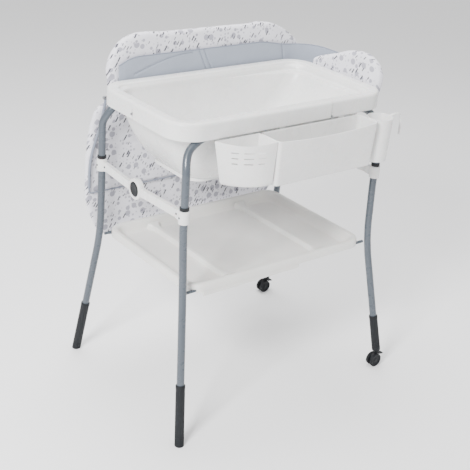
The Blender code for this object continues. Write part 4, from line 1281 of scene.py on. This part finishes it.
@dataclass
class Pad:
    """A padded form cut from a flat outline, sewn at its edge and filled."""

    name: str
    outline: list[Flat]
    facing: Facing
    middle: float
    thickness: float
    node: str
    body: str
    finish: Finish
    fill: float = 0.6
    cap: float = 0.008
    obj: bpy.types.Object | None = None
    start: list[Vector] = field(default_factory=list)

    def place(self, u: float, v: float, depth: float) -> Point:
        """Returns the point of the outline's plane at a depth off its middle."""
        if self.facing is Facing.FRONT:
            return (u, self.middle + depth, v)
        return (self.middle + depth, u, v)

    def cut(self, voxel: float = 0.0055) -> None:
        """Makes the flat starting form and remeshes it evenly."""
        bm = bmesh.new()
        half = self.thickness * 0.30
        front = [bm.verts.new(self.place(u, v, -half)) for u, v in self.outline]
        back = [bm.verts.new(self.place(u, v, half)) for u, v in self.outline]
        bm.faces.new(front)
        bm.faces.new(back)
        count = len(front)
        for i in range(count):
            j = (i + 1) % count
            bm.faces.new((front[i], front[j], back[j], back[i]))
        mesh = finish_mesh(bm, self.name, 180)
        self.obj = new_piece(self.name, mesh, self.finish, self.body, (self.node,))
        add_modifier(self.obj, "REMESH", mode="VOXEL", voxel_size=voxel, use_smooth_shade=True)
        add_modifier(self.obj, "SMOOTH", iterations=4, factor=0.5)
        bake(self.obj)
        self.start = [v.co.copy() for v in self.obj.data.vertices]

    def inflate(self) -> None:
        """Adds the cloth that swells the form when the simulation runs."""
        mod = add_modifier(self.obj, "CLOTH")
        mod.settings.quality = 5
        mod.settings.mass = 0.25
        mod.settings.tension_stiffness = 18
        mod.settings.compression_stiffness = 18
        mod.settings.shear_stiffness = 8
        mod.settings.bending_stiffness = 0.4
        mod.settings.use_pressure = True
        mod.settings.uniform_pressure_force = 4.0
        mod.settings.effector_weights.gravity = 0.0

    def settle(self) -> None:
        """Keeps the simulated form within its cap and its CAD thickness."""
        bake(self.obj)
        half = self.thickness / 2 - 0.0006
        axis = 1 if self.facing is Facing.FRONT else 0
        for vertex, start in zip(self.obj.data.vertices, self.start):
            move = (vertex.co - start) * 0.25
            move[axis] *= 4.0
            if move.length > self.cap:
                move = move.normalized() * self.cap
            vertex.co = start + move
            depth = vertex.co[axis] - self.middle
            vertex.co[axis] = self.middle + half * math.tanh(depth / half * 1.25)

    def groove(self, line: list[Flat], depth: float, width: float) -> None:
        """Presses a sewn channel into both faces along a line of the outline's plane."""
        axis = 1 if self.facing is Facing.FRONT else 0
        other = 0 if self.facing is Facing.FRONT else 1
        spans = [(Vector(a), Vector(b)) for a, b in zip(line, line[1:])]
        for vertex in self.obj.data.vertices:
            here = Vector((vertex.co[other], vertex.co.z))
            near = min(self.distance(here, a, b) for a, b in spans)
            if near < 3 * width:
                side = vertex.co[axis] - self.middle
                press = depth * math.exp(-(near / width) ** 2)
                vertex.co[axis] = self.middle + math.copysign(max(0.002, abs(side) - press), side)

    def crumple(self, height: float, scale: float) -> None:
        """Lays soft wrinkles over both faces."""
        axis = 1 if self.facing is Facing.FRONT else 0
        for vertex in self.obj.data.vertices:
            side = vertex.co[axis] - self.middle
            wave = noise(vertex.co * scale) + 0.5 * noise(vertex.co * scale * 2.3)
            vertex.co[axis] += math.copysign(height * (wave - 0.6), side)

    @staticmethod
    def distance(here: Vector, a: Vector, b: Vector) -> float:
        """Returns the distance from a point to a straight span."""
        span = b - a
        t = max(0.0, min(1.0, (here - a).dot(span) / max(1e-9, span.length_squared)))
        return (here - a - span * t).length

    def close(self) -> None:
        add_modifier(self.obj, "SUBSURF", levels=1, render_levels=1)
        self.obj.data.shade_smooth()


@dataclass
class Mat:
    """The padded changing mat, parked round and behind the bath."""

    palette: Palette
    board_y: float = 0.266
    seam_z: float = 0.564
    hinge: tuple[float, float] = (0.247, 0.857)
    band_thick: float = 0.007
    corner_x: float = 0.333
    corner_r: float = 0.085
    end_y: float = 0.040
    arm_x: tuple[float, float] = (0.322, 0.374)

    def pads(self) -> list[Pad]:
        """Returns the four padded pieces, still flat."""
        printed = self.palette.print_front
        base = 0.8700
        rear = eased_outline([(-0.319, base), (0.401, base), (0.401, 0.950), (0.342, 1.003),
                              (0.260, 1.040), (-0.226, 1.045), (-0.286, 1.024), (-0.329, 0.961)],
                             [0.03, 0.03, 0.05, 0.06, 0.07, 0.06, 0.05, 0.06])
        right = eased_outline([(-0.143, base), (0.150, base), (0.152, 0.928), (0.116, 0.945),
                               (0.048, 0.969), (0.0, 0.989), (-0.078, 1.001), (-0.130, 0.982),
                               (-0.155, 0.944)],
                              [0.03, 0.01, 0.01, 0.04, 0.04, 0.04, 0.05, 0.04, 0.04])
        side = [(0.345, 0.826), (0.366, 0.775), (0.378, 0.705), (0.384, 0.630)]
        seam = self.seam_z
        half = [(0.300, 0.845)] + side + [(0.385, seam - 0.010)]
        board = eased_outline([(-x, z) for x, z in half] + [(x, z) for x, z in reversed(half)],
                              [0.03, 0.02, 0.03, 0.04, 0.04, 0.003, 0.003, 0.04, 0.04, 0.03, 0.02, 0.03])
        flap = eased_outline([(-0.385, seam + 0.009), (0.385, seam + 0.009), (0.380, 0.530),
                              (0.354, 0.445), (0.312, 0.400), (-0.312, 0.400), (-0.354, 0.445),
                              (-0.380, 0.530)],
                             [0.003, 0.003, 0.04, 0.05, 0.04, 0.04, 0.05, 0.04])
        right_x = (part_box("bolster_right")[0].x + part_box("bolster_right")[1].x) / 2
        return [
            Pad("bolster_rear_cushion", rear, Facing.FRONT, 0.240, 0.034, "bolster_rear", "frame",
                printed, 0.7),
            Pad("bolster_right_cushion", right, Facing.SIDE, right_x, 0.034, "bolster_right", "frame",
                self.palette.print_side, 0.7),
            Pad("mat_board_cushion", board, Facing.FRONT, self.board_y, 0.026, "mat_board", "mat",
                printed, 0.5),
            Pad("mat_flap_cushion", flap, Facing.FRONT, self.board_y, 0.0208, "mat_flap", "mat",
                printed, 0.4),
        ]

    def simulate(self, pads: list[Pad]) -> None:
        """Swells all the pads in one run of the cloth simulation."""
        for pad in pads:
            pad.inflate()
        scene = bpy.context.scene
        for number in range(1, 21):
            scene.frame_set(number)

    def lining(self) -> None:
        """Makes the grey quilted lining that turns the rear right corner."""
        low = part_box("mat_lining")[0]
        rings = []
        rear_y = 0.2145
        path: list[tuple[Vector, Vector]] = []
        for k in range(261):
            x = -0.297 + (self.corner_x + 0.297) * k / 260
            path.append((Vector((x, rear_y, 0)), Vector((0, 1, 0))))
        centre = Vector((self.corner_x, rear_y - self.corner_r, 0))
        for k in range(1, 49):
            a = math.radians(90 - 90 * k / 48)
            out = Vector((math.cos(a), math.sin(a), 0))
            path.append((centre + out * self.corner_r, out))
        tail = centre.y - self.end_y
        for k in range(1, 13):
            path.append((centre + Vector((self.corner_r, -tail * k / 12, 0)), Vector((1, 0, 0))))
        count = len(path)
        bottom = low.z + 0.002
        travelled = 0.0
        last = path[0][0]
        for index, (here, out) in enumerate(path):
            travelled += (here - last).length
            last = here
            top = self.lining_top(travelled)
            ring = []
            rows = 30
            for k in range(rows + 1):
                z = bottom + (top - bottom) * k / rows
                ring.append((z, self.quilt(travelled, z, k / rows)))
            ends = min(1.0, min(index, count - 1 - index) / 8)
            deep = self.band_thick * (0.35 + 0.6 * ends)
            front = [here + out * (self.band_thick * 0.5 - deep * 0.5 * puff) + Vector((0, 0, z))
                     for z, puff in ring]
            back = [here + out * (self.band_thick * 0.5 + deep * 0.48) + Vector((0, 0, z))
                    for z, _ in reversed(ring)]
            rings.append([tuple(p) for p in front + back])
        LOG.info("lining is %.3f m long", travelled)
        obj = new_piece("mat_lining_quilt", skin(rings, "lining", 60, 0.0), self.palette.lining,
                        "frame", ("mat_lining",))
        add_modifier(obj, "SUBSURF", levels=1, render_levels=1)
        cord = []
        travelled = 0.0
        for number, (here, out) in enumerate(path):
            travelled += (here - path[max(0, number - 1)][0]).length
            cord.append(here + out * (self.band_thick * 0.5) + Vector((0, 0, self.lining_top(travelled))))
        # The darker threads paint the shade of the quilted channels.
        self.shaded_threads(path)
        new_piece("mat_lining_binding", pipe("binding", cord, 0.0019, 12), self.palette.binding, "frame")

    def shaded_threads(self, path: list[tuple[Vector, Vector]]) -> None:
        """Lays the lining's sewn threads in their channels, in the darker binding grey: real thread, and
        painted shade for the channels.
        """
        places = [0.0]
        for before, after in zip(path, path[1:]):
            places.append(places[-1] + (after[0] - before[0]).length)

        def spot(along: float, z: float) -> Vector:
            """Returns the point on the lining's face at a distance along it and a height."""
            number = min(range(len(places)), key=lambda k: abs(places[k] - along))
            here, out = path[number]
            return here + out * (self.band_thick * 0.5 - 0.0016) + Vector((0, 0, z))

        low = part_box("mat_lining")[0].z + 0.006
        for tag, at, slant in (("a", 0.300, 0.50), ("b", 0.318, 0.50), ("c", 0.610, 0.20)):
            top = self.lining_top(at) - 0.003
            line = [spot(at - slant * (z - 0.93), z)
                    for z in (low + (top - low) * k / 16 for k in range(17))]
            # Darker binding grey on real thread: painted shade along the sewn channels.
            new_piece("mat_lining_shaded_thread_" + tag, pipe("shaded_thread", line, 0.0007, 8),
                      self.palette.binding, "frame")
        line = []
        for k in range(40):
            along = 0.055 + 0.200 * k / 39
            rise = min(1.0, (along - 0.05) / 0.20)
            line.append(spot(along, 0.925 + 0.045 * math.sin(rise * math.pi / 2)))
        # Darker binding grey on this thread too: painted shade along its channel.
        new_piece("mat_lining_shaded_thread_d", pipe("shaded_thread", line, 0.0007, 8), self.palette.binding, "frame")

    def lining_top(self, along: float) -> float:
        """Returns the height of the lining's top edge at a distance along it."""
        rise = min(1.0, along / 0.07)
        fall = max(0.0, min(1.0, (along - 0.50) / 0.15))
        return 0.955 + 0.0215 * math.sin(rise * math.pi / 2) - 0.018 * fall * fall * (3 - 2 * fall)

    @staticmethod
    def quilt(along: float, z: float, rise: float) -> float:
        """Returns the lining's fullness, drawn in at its edges and along its sewn lines."""
        full = max(0.0, math.sin(math.pi * min(1.0, max(0.0, rise)))) ** 0.35
        seams = ((0.300, 0.50), (0.318, 0.50), (0.610, 0.2))
        for at, slant in seams:
            off = abs(along - at - (z - 0.93) * -slant)
            full *= 1 - 0.80 * math.exp(-(off / 0.0030) ** 2)
        bow = abs(z - (0.925 + 0.045 * math.sin(max(0.0, min(1.0, (along - 0.05) / 0.20)) * math.pi / 2)))
        if 0.05 < along < 0.26:
            full *= 1 - 0.80 * math.exp(-(bow / 0.0028) ** 2)
        return max(0.05, full)

    def piping(self) -> None:
        """Makes the corded seam across the board."""
        y = self.hinge[0] + 0.0035
        side_x = self.arm_x[1]
        line = eased_outline([(-side_x, 0.585), (-side_x, self.seam_z), (side_x, self.seam_z),
                              (side_x, 0.585)], [0.001, 0.020, 0.020, 0.001], 12)
        path = [Vector((x, y, z)) for x, z in line]
        new_piece("mat_piping", pipe("mat_piping", path, 0.0022, 12), self.palette.binding, "mat")

    def arms(self) -> None:
        """Makes the two arms that carry the hanging mat, inside their corded fabric sleeves."""
        y, z = self.hinge
        top_x, low_x = self.arm_x
        for side, sx in (("left", -1), ("right", 1)):
            points = [Vector((sx * top_x, y, z - 0.0055)), Vector((sx * (top_x + 0.012), y, 0.790)),
                      Vector((sx * low_x, y + 0.001, 0.670)), Vector((sx * low_x, y + 0.003, 0.582))]
            new_piece("mat_arm_%s_sleeve" % side, pipe("arm", eased(points, 0.045), 0.0042, 20),
                      self.palette.binding, "mat", ("mat_arm_" + side,))

    def build(self) -> None:
        """Makes the pads, the lining, the piping and the arms."""
        pads = self.pads()
        for pad in pads:
            pad.cut()
        self.simulate(pads)
        for pad in pads:
            pad.settle()
        rear, right, board, flap = pads
        rear.crumple(0.0010, 16.0)
        right.crumple(0.0008, 20.0)
        board.groove([(-0.30, 0.70), (0.30, 0.70)], 0.004, 0.006)
        board.crumple(0.0007, 14.0)
        flap.crumple(0.0012, 12.0)
        for pad in pads:
            pad.close()
        self.lining()
        self.piping()
        self.arms()


# ---------------------------------------------------------------- casters

@dataclass
class Casters:
    """The twin-wheel casters under the right-hand legs."""

    palette: Palette
    radius: float = 0.0225
    width: float = 0.009

    def wheel(self, end: str, side: str) -> None:
        """Makes a grooved tyre on a dished hub."""
        name = "caster_wheel_%s_%s" % (end, side)
        low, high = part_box(name)
        centre = (low + high) / 2
        out = Vector((0, -1 if side == "outer" else 1, 0))
        half = self.width / 2
        r = self.radius
        profile = [(0.0033, half - 0.001), (0.0060, half - 0.0010), (0.0066, half - 0.0022),
                   (0.0150, half - 0.0026), (0.0162, half - 0.0008), (0.0172, half - 0.0003),
                   (r - 0.0018, half), (r - 0.0005, half - 0.0006), (r, half - 0.0020),
                   (r, 0.0012), (r - 0.0007, 0.0007), (r - 0.0007, -0.0007), (r, -0.0012),
                   (r, -half + 0.0020), (r - 0.0005, -half + 0.0006), (r - 0.0018, -half),
                   (0.0033, -half)]
        new_piece(name + "_tyre", lathe(name, profile, centre, out, 64), self.palette.rubber,
                  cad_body(name), (name,))
        cap = [(0, half + 0.0002), (0.0038, half), (0.0046, half - 0.0008), (0.0046, half - 0.0024),
               (0, half - 0.0024)]
        new_piece(name + "_cap", lathe(name, cap, centre, out, 32), self.palette.dark,
                  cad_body(name))

    def build(self) -> None:
        """Makes the wheels of both casters."""
        for end in ("front", "rear"):
            for side in ("outer", "inner"):
                self.wheel(end, side)


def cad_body(node: str) -> str:
    """Returns the name of the body that holds a CAD node."""
    bodies = frame["record"]["behaviour"]["bodies"]
    return next(name for name, nodes in bodies.items() if node in nodes)


def dress_nodes(palette: Palette) -> None:
    """Gives every CAD node the finish of its record slot."""
    slots = {part["node"]: Slot(part["material_slot"]) for part in frame["record"]["subparts"]}
    for name, obj in frame["nodes"].items():
        finish = palette.of_slot(slots[name]).material
        if obj.material_slots:
            for held in obj.material_slots:
                held.material = finish
        else:
            obj.data.materials.append(finish)


def main() -> None:
    """Builds the studio and every sub-assembly in order."""
    logging.basicConfig(level=logging.INFO, format="%(name)s: %(message)s")
    Studio().build()
    palette = Palette()
    dress_nodes(palette)
    TubeFrame(palette).build()
    Bath(palette).build()
    ShelfTray(palette).build()
    Organizer(palette).build()
    Mat(palette).build()
    Casters(palette).build()


if __name__ == "__main__":
    main()
